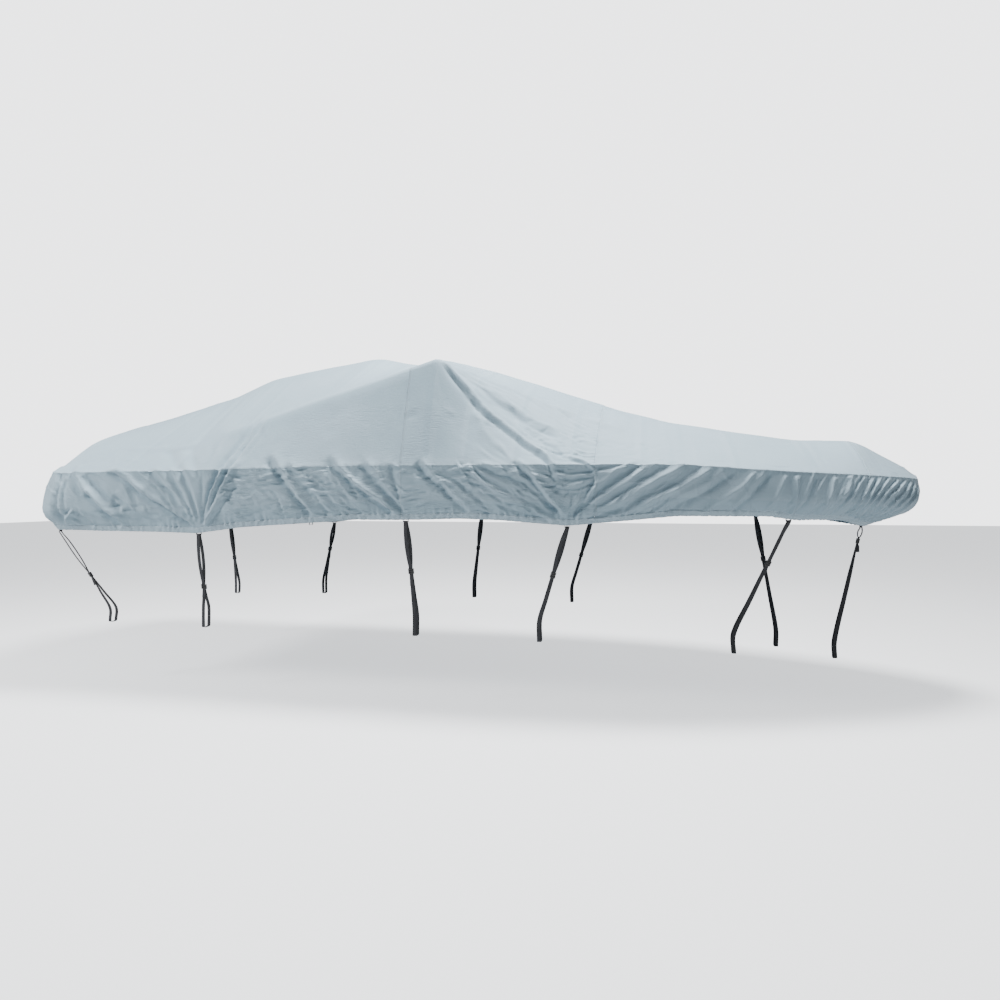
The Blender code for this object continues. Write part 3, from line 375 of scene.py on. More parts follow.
def hem_z(x):
    return taut(hem_x(x), HEM_LINE, radius=0.03)


def soft_ramp(value, softness):
    return (np.sqrt(value**2 + softness**2) - softness)/(math.sqrt(1 + softness**2) - softness)


def soft_min(p, q, radius):
    low = np.minimum(p, q)
    return low - radius*np.log(np.exp(-(p - low)/radius) + np.exp(-(q - low)/radius))


def top_z(x, u):
    """Height of the top, with u 0 on the centreline and 1 at the rim crease."""
    centre, rim = taut(x, CENTRE_LINE), rim_z(x)
    kink = taut(x, SHOULDER_LINE, 3, SHOULDER_ROUNDING)
    half = np.maximum(rim_half(x), LEAST_HALF)
    shoulder_half = taut(x, SHOULDER_LINE, 1, SHOULDER_ROUNDING)
    shoulder_u = np.minimum(shoulder_half/half, WIDEST_SHOULDER)
    chord = rim + (centre - rim)*(1 - shoulder_u)
    shoulder = taut(x, SHOULDER_LINE, 2, SHOULDER_ROUNDING)
    shoulder = np.maximum(shoulder, rim + (chord - rim)*0.9)
    shoulder = np.minimum(shoulder, centre - 0.02*np.minimum(1, (centre - rim)/0.1))

    def deck(at):
        return centre + (shoulder - centre)*(
            soft_ramp(at, RIDGE_SOFTNESS)/soft_ramp(shoulder_u, RIDGE_SOFTNESS))

    def slope(at):
        return shoulder + (rim - shoulder)*(at - shoulder_u)/(1 - shoulder_u)

    def joined(at):
        return soft_min(deck(at), slope(at), kink)

    return joined(u) + (centre - joined(0.0))*(1 - u) + (rim - joined(1.0))*u


def outward(x):
    step = 1e-4
    high, low = np.minimum(x + step, LENGTH), np.maximum(x - step, 0)
    slope = (rim_half(high) - rim_half(low))/(high - low)
    size = np.sqrt(1 + slope**2)
    return -slope/size, 1/size


def knuckle(v):
    rise = np.where(v < KNUCKLE_HEIGHT, v/KNUCKLE_HEIGHT, (1 - v)/(1 - KNUCKLE_HEIGHT))
    return 1 - soft_ramp(1 - rise, KNUCKLE_SOFTNESS)


def rim_arc():
    """Stations of the rim crease and the distance along it, equal to x at the sides."""
    corner = STERN_CORNER*(1 - np.cos(np.linspace(0, math.pi/2, 60)))
    sides = np.linspace(STERN_CORNER, BOW_START, 400)
    bow = BOW_START + (LENGTH - BOW_START)*np.sin(np.linspace(0, math.pi/2, 1500))
    x = np.concatenate([corner, sides[1:], bow[1:]])
    run = np.concatenate([[0], np.cumsum(np.hypot(np.diff(x), np.diff(rim_half(x))))])
    return x, run + 1.0 - np.interp(1.0, x, run)


ARC_X, ARC_A = rim_arc()
BOW_SEAM_A = float(np.interp(BOW_SEAM, ARC_X, ARC_A))


def skirt_shares(length):
    """v of the skirt's rows at each station, closer beside the hem and the rim."""
    near_hem = np.array(HEM_STEPS)[None, :]/length[:, None]
    near_rim = 1 - np.array(RIM_STEPS + (0.0,))[None, :]/length[:, None]
    share = np.linspace(0, 1, SKIRT_MIDDLE_ROWS + 2)[None, 1:-1]
    middle = near_hem[:, -1:] + (near_rim[:, :1] - near_hem[:, -1:])*share
    return np.concatenate([near_hem, middle, near_rim], axis=1)


def skirt_rows(x, side):
    """The skirt's points at each station x, from the hem to the rim: n by rows by 3."""
    out_x, out_y = outward(x)
    length = np.hypot(rim_z(x) - hem_z(x), x - hem_x(x)) + 0.5*taut(x, BELLY_LINE)
    v = skirt_shares(length)
    belly = taut(x, BELLY_LINE)[:, None]*knuckle(v)
    hem_y = hem_half(x)[:, None]
    return np.stack([
        hem_x(x)[:, None] + (x - hem_x(x))[:, None]*v + out_x[:, None]*belly,
        side*(hem_y + (rim_half(x)[:, None] - hem_y)*v + out_y[:, None]*belly*(x < LENGTH)[:, None]),
        hem_z(x)[:, None] + (rim_z(x) - hem_z(x))[:, None]*v,
    ], -1)


def top_shares(x, rows):
    """u of the top's rows at each station, from just inside the rim to the centreline."""
    half = np.maximum(rim_half(x), LEAST_HALF)
    near_rim = 1 - np.minimum(np.array(TOP_STEPS)[None, :]/half[:, None]*0.7,
                              0.02*np.arange(1, len(TOP_STEPS) + 1)[None, :])
    share = np.linspace(0, 1, rows + 1)[None, 1:]
    share = share*(1 - TOP_GRADING*(1 - share))
    return np.concatenate([near_rim, near_rim[:, -1:]*(1 - share)], axis=1)


def top_rows(x, side):
    u = top_shares(x, NEAR_TOP_ROWS if side < 0 else FAR_TOP_ROWS)
    return np.stack([
        np.broadcast_to(x[:, None], u.shape),
        side*u*rim_half(x)[:, None],
        top_z(x[:, None], u),
    ], -1)


def along_rows(points):
    """Distance along each column from its first row."""
    steps = np.linalg.norm(np.diff(points, axis=1), axis=2)
    return np.concatenate([np.zeros((len(points), 1)), np.cumsum(steps, axis=1)], axis=1)


# ======== folds and wrinkles
def smooth_path(path, pieces=5):
    """A rounded run through the path's points."""
    points = np.array(path, float)
    ends = np.concatenate([[2*points[0] - points[1]], points, [2*points[-1] - points[-2]]])
    t = np.linspace(0, 1, pieces, endpoint=False)[:, None]
    runs = []
    for p, q, r, s in zip(ends, ends[1:], ends[2:], ends[3:]):
        runs.append(0.5*(2*q + (r - p)*t + (2*p - 5*q + 4*r - s)*t**2 + (3*q - p - 3*r + s)*t**3))
    return np.concatenate(runs + [points[-1:]])


def crest_form(distance, width):
    """A rounded crest, sharper at its top than a bell."""
    q = distance/width
    return np.exp(-1.5*(np.sqrt(q**2 + CREST_SOFTNESS) - math.sqrt(CREST_SOFTNESS)))


def add_fold(rise, a, w, fold, share, shift, phase):
    path, width0, width1, height, lean = fold
    run = smooth_path(path) + np.array((shift, 0.0))
    reach = 4*max(width0, width1)
    low, high = run.min(0) - reach, run.max(0) + reach
    here = (a > low[0]) & (a < high[0]) & (w > low[1]) & (w < high[1])
    if not here.any():
        return
    spot = np.stack([a[here], w[here]], -1)
    lengths = np.linalg.norm(np.diff(run, axis=0), axis=1)
    starts = np.concatenate([[0], np.cumsum(lengths)])
    total = starts[-1]
    nearest = np.full(len(spot), 9.0)
    signed, place, beyond = np.zeros(len(spot)), np.zeros(len(spot)), np.zeros(len(spot))
    for number, (p, q) in enumerate(zip(run, run[1:])):
        along = (q - p)/lengths[number]
        across = np.array((-along[1], along[0]))
        offset = spot - p
        on = offset @ along
        held = np.clip(on, 0, lengths[number])
        distance = np.linalg.norm(offset - held[:, None]*along, axis=1)
        closer = distance < nearest
        nearest[closer] = distance[closer]
        signed[closer] = (offset @ across)[closer]
        place[closer] = ((starts[number] + held)/total)[closer]
        beyond[closer] = (on - held)[closer]
    sway = 0.12*np.sin(place*total/0.05 + phase) + 0.08*np.sin(place*total/0.021 + 2*phase)
    width = (width0 + (width1 - width0)*place)*(1 + 0.12*np.sin(place*9 + phase))
    distance = signed + sway*width
    ease = np.clip(place/FOLD_EASE, 0, 1)*np.clip((1 - place)/FOLD_EASE, 0, 1)
    ease = ease*(2 - ease)*np.exp(-(beyond/width)**2)
    ease = ease*(0.88 + 0.12*np.sin(place*total/0.035 + 3*phase))
    crest = crest_form(distance, width)
    partner = crest_form(distance + lean*PARTNER_SHIFT*width, width)
    rise[here] += FOLD_GAIN*share*height*ease*(crest - abs(lean)*PARTNER_SHARE*partner)


def add_wrinkles(rise, a, w, seed):
    """Short soft wrinkles, each by itself, at the places and directions of the table."""
    chance = np.random.default_rng(seed)
    for a0, a1, w0, w1, density, angle, spread, length, height in WRINKLES:
        for _ in range(int(WRINKLE_CROWD*density*(a1 - a0)*(w1 - w0))):
            at = np.array((chance.uniform(a0, a1), chance.uniform(w0, w1)))
            turn = math.radians(chance.normal(angle, spread))
            half = length*chance.uniform(0.5, 1.7)/2
            width = WRINKLE_WIDTH*chance.uniform(0.7, 1.7)
            tall = WRINKLE_GAIN*height*chance.uniform(0.3, 1.0)*chance.choice((-1, 1))
            bend = chance.normal(0, 0.12)*half
            here = (np.abs(a - at[0]) < half + 4*width) & (np.abs(w - at[1]) < half + 4*width)
            x, y = a[here] - at[0], w[here] - at[1]
            along = (x*math.cos(turn) + y*math.sin(turn))/half
            across = -x*math.sin(turn) + y*math.cos(turn) - bend*(along**2 - 0.5)
            fade = np.exp(-along**4*0.8 - along**2*0.6)
            rise[here] += tall*fade*(
                crest_form(across, width) - 0.5*crest_form(across - 1.7*width, width))


def ripple(s, *lengths):
    """An uneven wave between -1 and 1, never quite repeating."""
    s = np.asarray(s, float)
    total = np.zeros_like(s)
    for number, length in enumerate(lengths):
        drift = 1.7*np.sin(s*2*math.pi/(length*7.3) + number)
        drift = drift + 1.1*np.sin(s*2*math.pi/(length*17.9))
        total = total + np.sin(s*2*math.pi/length + drift + 2.1*number)
    return total/len(lengths)


def band(value, start, end, soft):
    """1 between start and end, easing to 0 over soft at either side."""
    rise = np.clip((value - start)/soft + 0.5, 0, 1)
    fall = np.clip((end - value)/soft + 0.5, 0, 1)
    return rise*rise*(3 - 2*rise)*fall*fall*(3 - 2*fall)


def sewing_relief(a, w, h, skirt):
    """Hem band, felled seams and the puckers that their stitching draws up."""
    hem_band = HEM_RISE*band(h, -0.01, HEM_BAND, 0.003)*skirt
    stitch_line = -HEM_DIP*np.exp(-((h - HEM_BAND - 0.002)/0.0035)**2)*skirt
    above = np.exp(-np.clip(h - HEM_BAND, 0, None)/0.026)*band(h, HEM_BAND - 0.006, 9, 0.012)
    gather = np.clip(0.5 + 0.9*ripple(a + 0.3, 0.31, 0.17), 0, 1.3)
    pucker = HEM_PUCKER*ripple(a, 0.047, 0.031, 0.083)*gather
    in_band = HEM_WAVE*ripple(a + 0.1, 0.037, 0.061)*band(h, -0.01, HEM_BAND, 0.01)
    relief = hem_band + stitch_line + (pucker*above + in_band)*skirt
    relief = relief + RIM_RISE*np.exp(-(w/0.0035)**2) + RIM_LAP*band(w, -0.014, 0.0, 0.003)
    relief = relief + RIM_PUCKER*ripple(a, 0.026, 0.043)*np.exp(-((w + 0.012)/0.016)**2)
    for seam, depth in ((AFT_SEAM, 0.8), (FORE_SEAM, 4.6), (BOW_SEAM_A, 1.5)):
        s = a - seam
        relief = relief + SEAM_LAP*band(s, 0.0, 0.013, 0.003)
        relief = relief - SEAM_DIP*np.exp(-((s - 0.002)/0.002)**2)
        gathered = ripple(w + seam, 0.026, 0.041) + 0.4*ripple(w - seam, 0.019)
        relief = relief + SEAM_PUCKER*depth*gathered*np.exp(-np.abs(s)/0.026)
    at_dart = np.exp(-((a - DART)/0.006)**2)*band(w, -9, -0.06, 0.03)
    return relief + skirt*(DART_PUCKER*ripple(w, 0.020, 0.031) - DART_DIP)*at_dart


def crinkle_share(a, w):
    """How much fine crinkling the cloth has at each point."""
    skirt = 0.7 + 1.9*band(a, 1.3, 3.95, 0.5)
    skirt = skirt - 0.3*band(a, 4.4, 9, 0.5) - 0.25*band(a, -9, 0, 0.1)
    slope = 0.16 + 0.34*band(a, 1.3, 4.1, 0.6)*band(w, -1, 0.45, 0.4)
    return np.where(w < 0, skirt, slope)


def billows(a, w, side):
    """Broad, shallow slack in the cloth."""
    slow = np.sin(a*7.1 + 3.3*w + side) + 0.7*np.sin(a*13.7 - 8.9*w + 2*side)
    slow = slow + 0.5*np.sin(21*a + 17*w)
    return 0.0011*slow*(1 - np.exp(-(w/0.05)**2))


def cloth_rise(a, w, h, skirt, side):
    """How far folds, wrinkles and sewing lift the cloth, at flat arrays of points."""
    rise = np.zeros_like(a)
    far = side > 0
    share = FAR_SIDE_SHARE if far else 1.0
    for number, fold in enumerate(STERN_FOLDS + BOW_FOLDS):
        start_a = fold[0][0][0]
        shift = FAR_SIDE_SHIFT*math.sin(FAR_SIDE_WAVE*(start_a - PEAK_FOLD_A)) if far else 0.0
        add_fold(rise, a, w, fold, share, shift, FOLD_PHASE*number)
    add_wrinkles(rise, a, w, FAR_SEED if far else NEAR_SEED)
    return rise + sewing_relief(a, w, h, skirt) + billows(a, w, side)


# ======== the cloth's mesh
def grid_normals(points):
    """Unit normals of a grid of points, facing out of the cover."""
    down = np.gradient(points, axis=0)
    over = np.gradient(points, axis=1)
    normal = np.cross(down, over)
    size = np.linalg.norm(normal, axis=2, keepdims=True)
    return normal/np.maximum(size, 1e-9)


def all_stations():
    """Stations of the columns, closer beside the seams, with each panel's first and last."""
    seams = [float(np.interp(panel[3], ARC_X, ARC_A)) for panel in PANELS[:-1]]
    edges = [float(ARC_A[0])] + seams + [float(ARC_A[-1])]
    stations, marks = [], [0]
    for start, end, (*_, column_step) in zip(edges, edges[1:], PANELS):
        lead = [start + s for s in SEAM_STEPS if start != edges[0]]
        tail = [end - s for s in SEAM_STEPS[::-1] if end != edges[-1]]
        first, last = (lead or [start])[-1], (tail or [end])[0]
        count = max(2, round((last - first)/column_step))
        inner = list(np.linspace(first, last, count + 1))
        column = sorted({round(v, 6) for v in [start, *lead, *inner, *tail, end]})
        stations += column if not stations else column[1:]
        marks.append(len(stations) - 1)
    coarse = np.array(stations)
    a = np.empty(2*len(coarse) - 1)
    a[::2], a[1::2] = coarse, (coarse[:-1] + coarse[1:])/2
    x = np.interp(a, ARC_A, ARC_X)
    x[-1] = LENGTH
    return a, x, [2*mark for mark in marks]


def side_grid(a, x, side):
    """One side's points from hem to centreline, with a, w and height above the hem."""
    skirt = skirt_rows(x, side)
    top = top_rows(x, side)
    points = np.concatenate([skirt, top], axis=1)
    rim = skirt.shape[1] - 1
    run = along_rows(points)
    w = run - run[:, rim:rim + 1]
    a_grid = np.broadcast_to(a[:, None], w.shape)
    is_skirt = np.broadcast_to((np.arange(w.shape[1]) <= rim)[None, :], w.shape).astype(float)
    normal = grid_normals(points)*(1 if side < 0 else -1)
    rise = cloth_rise(a_grid.ravel(), w.ravel(), run.ravel(), is_skirt.ravel(), side).reshape(w.shape)
    calm = np.clip((float(ARC_A[-1]) - a_grid)/BOW_CALM, 0, 1)
    return points + normal*(rise*calm)[..., None], normal, a_grid, w, rim


def stern_grid(shares, corner_a):
    """The skirt across the stern, column by column from the near side to the far side."""
    high = top_z(np.zeros_like(shares), np.abs(shares))
    low = float(hem_z(0.0))
    length = high - low + 0.5*BELLY_LINE[0][1]
    v = skirt_shares(length)
    half_low, half_high = float(hem_half(0.0)), float(rim_half(0.0))
    points = np.stack([
        -BELLY_LINE[0][1]*knuckle(v),
        shares[:, None]*(half_low + (half_high - half_low)*v),
        low + (high[:, None] - low)*v,
    ], -1)
    run = along_rows(points)
    w = run - run[:, -1:]
    a = corner_a - (1 - np.abs(shares))[:, None]*half_high + 0*w
    normal = grid_normals(points)
    normal = normal*np.where(normal[..., :1] > 0, -1.0, 1.0)
    rise = np.zeros_like(w)
    for side in (-1, 1):
        mine = shares*side >= 0
        part = cloth_rise(a[mine].ravel(), w[mine].ravel(), run[mine].ravel(),
                          np.ones(a[mine].size), side)
        rise[mine] = part.reshape(a[mine].shape)
    return points + normal*rise[..., None], normal, a, w


def seat(point):
    """Cutting axes to the row's own frame."""
    return np.asarray(point, float) - np.array((MOUNT_X, 0.0, MOUNT_Z))


def put_in_scene(name, data):
    made = bpy.data.objects.new(name, data)
    bpy.context.scene.collection.objects.link(made)
    return made


def new_piece(name, points, faces, uv, attributes=()):
    """A mesh piece with each corner's uv and each point's attributes."""
    mesh = bpy.data.meshes.new(name)
    mesh.vertices.add(len(points))
    mesh.vertices.foreach_set("co", np.asarray(points, np.float32).ravel())
    sizes = np.array([len(face) for face in faces])
    corners = np.concatenate([np.asarray(face) for face in faces]).astype(np.int32)
    mesh.loops.add(len(corners))
    mesh.loops.foreach_set("vertex_index", corners)
    mesh.polygons.add(len(faces))
    starts = np.concatenate([[0], np.cumsum(sizes)[:-1]]).astype(np.int32)
    mesh.polygons.foreach_set("loop_start", starts)
    mesh.update(calc_edges=True)
    layer = mesh.uv_layers.new(name="cloth")
    layer.data.foreach_set("uv", np.asarray(uv, np.float32)[corners].ravel())
    for label, values in attributes:
        attribute = mesh.attributes.new(label, "FLOAT", "POINT")
        attribute.data.foreach_set("value", np.asarray(values, np.float32))
    mesh.shade_smooth()
    return put_in_scene(name, mesh)


class Weaver:
    """Gathers grids of points into one mesh."""

    def __init__(self):
        self.points, self.faces, self.uv, self.hem, self.fold = [], [], [], [], []
        self.count = 0

    def add_points(self, points, a, w, hem, fold):
        first = self.count
        self.points.append(seat(points).reshape(-1, 3))
        self.uv.append(np.stack([a.ravel(), w.ravel()], -1))
        self.hem.append(np.broadcast_to(hem, a.shape).ravel())
        self.fold.append(np.broadcast_to(fold, a.shape).ravel())
        self.count += a.size
        return first + np.arange(a.size).reshape(a.shape)

    def join_half(self, fine, coarse):
        """Join a row of fine columns to a row of every second column."""
        for start, middle, end, p, q in zip(fine[:-2:2], fine[1::2], fine[2::2], coarse, coarse[1:]):
            self.faces.append(np.array([
                (start, middle, p, p), (middle, q, p, p), (middle, end, q, q)]))

    def join(self, index, flip=False):
        p, q = index[:-1, :-1].ravel(), index[1:, :-1].ravel()
        r, s = index[1:, 1:].ravel(), index[:-1, 1:].ravel()
        ring = (p, q, r, s) if not flip else (p, s, r, q)
        self.faces.append(np.stack(ring, -1))

    def add_hem(self, points, normal, a, skirt, flip):
        """Add the turned-up hem behind the skirt's lowest row."""
        under = turned_hem(points, normal)
        shape = under.shape[:2]
        inner = self.add_points(
            under, np.broadcast_to(a[:, :1], shape), np.full(shape, BEHIND_HEM_W), 1.0, 0.0)
        self.join(np.concatenate([inner, skirt[:, :1]], axis=1), flip)

    def piece(self, name):
        # The fold attribute holds the painted shade of the troughs and the painted highlight of the
        # crests.
        faces = [face[:3] if face[2] == face[3] else face for face in np.concatenate(self.faces)]
        return new_piece(
            name, np.concatenate(self.points), faces, np.concatenate(self.uv),
            (("hem", np.concatenate(self.hem)), ("fold", np.concatenate(self.fold)),
             ("crinkle", crinkle_share(*np.concatenate(self.uv).T))))


def turned_hem(points, normal):
    """Rows that roll under the hem's edge and run up behind its band."""
    edge, up = points[:, 0], points[:, 1] - points[:, 0]
    up = up/np.linalg.norm(up, axis=1, keepdims=True)
    out = normal[:, 1]
    roll = [
        edge - up*HEM_ROLL - out*HEM_ROLL_SIDE,
        edge - up*HEM_ROLL_FOOT - out*(HEM_TURN/2),
        edge - up*HEM_ROLL - out*(HEM_TURN - HEM_ROLL_SIDE),
        edge - out*HEM_TURN,
    ]
    behind = [points[:, k] - out*HEM_TURN for k in BEHIND_HEM_ROWS]
    return np.stack((roll + behind)[::-1], axis=1)


def solid_cloth(piece):
    """Merge shared edges and give the cloth its thickness inwards."""
    work = bmesh.new()
    work.from_mesh(piece.data)
    bmesh.ops.remove_doubles(work, verts=work.verts, dist=2e-5)
    work.to_mesh(piece.data)
    work.free()
    thickness = piece.modifiers.new("sheet", "SOLIDIFY")
    thickness.thickness = SHEET
    thickness.offset = -1
    thickness.use_even_offset = False


def build_cloth():
    """The four cloth panels, and the lines that their stitching follows."""
    a, x, marks = all_stations()
    sides = {-1: side_grid(a, x, -1), 1: side_grid(a[::2], x[::2], 1)}
    rim = sides[-1][4]
    near, far = sides[-1][0], sides[1][0]
    stern_shares = np.concatenate([
        [-1.0], -top_shares(x[:1], NEAR_TOP_ROWS)[0][1::2],
        top_shares(x[:1], FAR_TOP_ROWS)[0][:-1][::-1], [1.0]])
    stern, stern_normal, stern_a, stern_w = stern_grid(stern_shares, float(a[0]))
    far[:, -1] = near[::2, -1]
    near[-1, :rim + 1, 1] = 0
    far[-1, :rim + 1] = near[-1, :rim + 1]
    stern[0], stern[-1] = near[0, :rim + 1], far[0, :rim + 1]
    stern[:, -1] = np.concatenate([near[0, rim::2], far[0, rim:-1][::-1]])
    # Painted shade in the folds' troughs and painted highlight on their crests, for the cloth's colour.
    painted_fold_shades = {side: painted_fold_shade(grid[0], grid[1]) for side, grid in sides.items()}
    hem = (np.arange(rim + 1) < HEM_ROWS)[None, :]*1.0
    pieces, lines = [], []
    for number, (name, node, *_) in enumerate(PANELS):
        weaver = Weaver()
        for side, (points, normal, a_grid, w_grid, _) in sides.items():
            step = 1 if side < 0 else 2
            first, last = marks[number]//step, marks[number + 1]//step
            part = points[first:last + 1].copy()
            out = normal[first:last + 1]
            part[0, :, 0] += 0 if number == 0 else SEAM_GAP/2
            part[-1, :, 0] -= 0 if number == len(PANELS) - 1 else SEAM_GAP/2
            every = 1 if side > 0 or name == FINE_TOP else 2
            low = slice(None), slice(0, rim + 1)
            high = slice(None, None, every), slice(rim + every, None, every)
            along, away, tone = (
                grid[first:last + 1] for grid in (a_grid, w_grid, painted_fold_shades[side]))
            skirt = weaver.add_points(part[low], along[low], away[low], hem, tone[low])
            top = weaver.add_points(part[high], along[high], away[high], 0.0, tone[high])
            if every == 2:
                weaver.join(skirt)
                weaver.join(top)
                weaver.join_half(skirt[:, -1], top[:, 0])
            else:
                weaver.join(np.concatenate([skirt, top], axis=1), flip=side > 0)
            weaver.add_hem(part, out, along, skirt, side > 0)
            lifted = seat(part + out*STITCH_LIFT)
            lines += [lifted[:, k] for k in (*HEM_STITCHES, rim - RIM_STITCH, rim + RIM_STITCH)]
            lines += [lifted[k//step] for k in SEAM_STITCHES if number]
        if number == 0:
            skirt = weaver.add_points(
                stern, stern_a, stern_w, hem, painted_fold_shade(stern, stern_normal))
            weaver.join(skirt, flip=True)
            weaver.add_hem(stern, stern_normal, stern_a, skirt, True)
            lifted = seat(stern + stern_normal*STITCH_LIFT)
            lines += [lifted[:, k] for k in (*HEM_STITCHES, rim - RIM_STITCH)]
        piece = weaver.piece(name)
        solid_cloth(piece)
        pieces.append((piece, node))
    return pieces, lines


def painted_fold_shade(points, normal):
    """Positive on crests and negative in troughs: painted highlight on the crests and painted shade in
    the troughs of the cloth's colour.
    """
    level = (points*normal).sum(-1)
    smooth = level.copy()
    for _ in range(PAINTED_SHADE_PASSES):
        wide = np.pad(smooth, 1, mode="edge")
        smooth = (wide[:-2, 1:-1] + wide[2:, 1:-1] + wide[1:-1, :-2] + wide[1:-1, 2:] + smooth)/5
    return np.clip((level - smooth)/PAINTED_SHADE_DEPTH, -1, 1)

# ======== straps, loops and buckles
def cad_frame(node, x, side):
    """The hem loop's own frame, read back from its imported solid: X along the hem, Y out."""
    out_x, out_y = outward(x) if side else (1.0, 0.0)
    out, up = Vector((float(out_x), side*float(out_y), 0.0)), Vector((0, 0, 1))
    matrix = Matrix((out.cross(up), out, up)).transposed().to_4x4()
    low, high = (Vector(v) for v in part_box(node))
    middle = (low + high)/2
    middle.z = low.z + LOOP_DROP
    matrix.translation = middle + out*(LOOP_DEPTH/2)
    return matrix


def ribbon(name, points, sides, width, thickness, ridge=0.0):
    """A flat strip along points, closed, with rounded edges and a uv along it."""
    points = np.array([tuple(p) for p in points])
    sides = np.array([tuple(s) for s in sides])
    tangent = np.gradient(points, axis=0)
    tangent /= np.linalg.norm(tangent, axis=1, keepdims=True)
    sides = sides - tangent*(sides*tangent).sum(1, keepdims=True)
    sides /= np.linalg.norm(sides, axis=1, keepdims=True)
    face = np.cross(tangent, sides)
    half, deep = width/2, thickness/2
    back = [
        (-half, -deep*0.45), (-half + deep*0.8, -deep), (-half*0.5, -deep - ridge), (0, -deep),
        (half*0.5, -deep - ridge), (half - deep*0.8, -deep), (half, -deep*0.45)]
    profile = back + [(s, -f) for s, f in back[::-1]]
    count = len(profile)
    rings = [points + sides*s + face*f for s, f in profile]
    grid = np.stack(rings, axis=1)
    run = np.concatenate([[0], np.cumsum(np.linalg.norm(np.diff(points, axis=0), axis=1))])
    index = np.arange(len(points)*count).reshape(len(points), count)
    around = np.concatenate([index, index[:, :1]], axis=1)
    faces = list(np.stack([
        around[:-1, :-1].ravel(), around[:-1, 1:].ravel(),
        around[1:, 1:].ravel(), around[1:, :-1].ravel()], -1))
    faces += [index[0][::-1], index[-1]]
    uv = np.stack([
        np.broadcast_to(np.array([s for s, _ in profile])[None, :], index.shape),
        np.broadcast_to(run[:, None], index.shape)], -1).reshape(-1, 2)
    piece = new_piece(name, grid.reshape(-1, 3), faces, uv)
    return piece, float(run[-1])


def rounded_run(path, pieces=6):
    """A smooth run through the path's points, with its width directions."""
    points = np.array([tuple(p) for p, _ in path])
    sides = np.array([tuple(s) for _, s in path])
    size = np.concatenate([[0], np.cumsum(np.linalg.norm(np.diff(points, axis=0), axis=1)**0.5)])
    out = []
    tangent = np.zeros_like(points)
    tangent[1:-1] = (points[2:] - points[:-2])/(size[2:] - size[:-2])[:, None]
    tangent[0] = (points[1] - points[0])/(size[1] - size[0])
    tangent[-1] = (points[-1] - points[-2])/(size[-1] - size[-2])
    side_run = []
    for k in range(len(points) - 1):
        step = size[k + 1] - size[k]
        t = np.linspace(0, 1, pieces, endpoint=False)[:, None]
        h00, h10 = 2*t**3 - 3*t**2 + 1, t**3 - 2*t**2 + t
        h01, h11 = -2*t**3 + 3*t**2, t**3 - t**2
        out.append(h00*points[k] + h10*step*tangent[k]
                   + h01*points[k + 1] + h11*step*tangent[k + 1])
        side_run.append(sides[k] + (sides[k + 1] - sides[k])*t)
    return np.concatenate(out + [points[-1:]]), np.concatenate(side_run + [sides[-1:]])


def strap_path(hem, strap):
    """The strap's middle line and width directions, as the solid's."""
    _, _, side, end_x, end_y, end_z, wide, tall, buckle_share, tail = strap
    up = Vector((0, 0, 1))
    along, out = (Vector(hem.col[k][:3]) for k in (0, 1))
    bar = hem.translation - out*(LOOP_DEPTH/2) - up*(LOOP_DROP - LOOP_WEBBING/2)
    head = Vector(seat((end_x, end_y, end_z + tall)))
    hook = Vector((0, side or 1, 0))
    buckle = bar.lerp(head, buckle_share)
    run = (buckle - bar).normalized()
    lower = (head - buckle).normalized()
    upper_side = run.cross(out).normalized()
    lower_side = lower.cross(out*abs(side) + hook).normalized()
    flat_side = hook.cross(up)
    turn = (math.hypot(LOOP_DEPTH, LOOP_WEBBING)/2 + LOOP_PLAY + WEBBING/2)/math.cos(TURN_STEP/2)
    half_buckle = BUCKLE_HEIGHT/2
    path = []

    def add(point, across=upper_side):
        path.append((point, across))

    def doubled(share, sign):
        middle = bar.lerp(buckle - run*half_buckle, share)
        spread = math.sin(math.pi*share)
        reach = turn + (LAYER_STEP/2 - turn)*share + SLACK*spread
        return middle + out*sign*reach + upper_side*sign*SPLAY*spread

    layer = out*LAYER_STEP
    foot = buckle + lower*half_buckle
    add(foot + lower*tail + out*(LAYER_STEP + TAIL_CURL), lower_side)
    add(foot + lower*tail*0.5 + out*(LAYER_STEP + TAIL_CURL*0.4), lower_side)
    add(foot + layer)
    add(buckle - run*half_buckle + layer)
    for share in (0.75, 0.5, 0.25):
        add(doubled(share, 1) + layer*share)
    add(bar + out*turn - up*turn, along)
    for t in np.arange(0, math.pi + 0.01, TURN_STEP):
        add(bar + out*(turn*math.cos(t)) + up*(turn*math.sin(t)), along)
    add(bar - out*turn - up*turn, along)
    for share in (0.25, 0.5, 0.75):
        add(doubled(share, -1))
    add(buckle - run*half_buckle)
    add(foot)
    reach = wide/2
    add(foot.lerp(head + hook*reach, 0.5), lower_side)
    add(head + hook*reach, flat_side)
    base = head - up*tall
    corner = reach - HOOK_BEND
    for sign in (1, -1):
        bend = [
            base + hook*sign*(corner + HOOK_BEND*math.cos(t)) + up*HOOK_BEND*(1 - math.sin(t))
            for t in (0, math.pi/4, math.pi/2)]
        for point in bend[::sign]:
            add(point, flat_side)
    add(head - hook*reach, flat_side)
    add(foot.lerp(head - hook*reach, 0.5) - layer/2, lower_side)
    add(foot - layer)
    add(buckle - run*half_buckle*0.6 - layer)
    return path, buckle, run, out


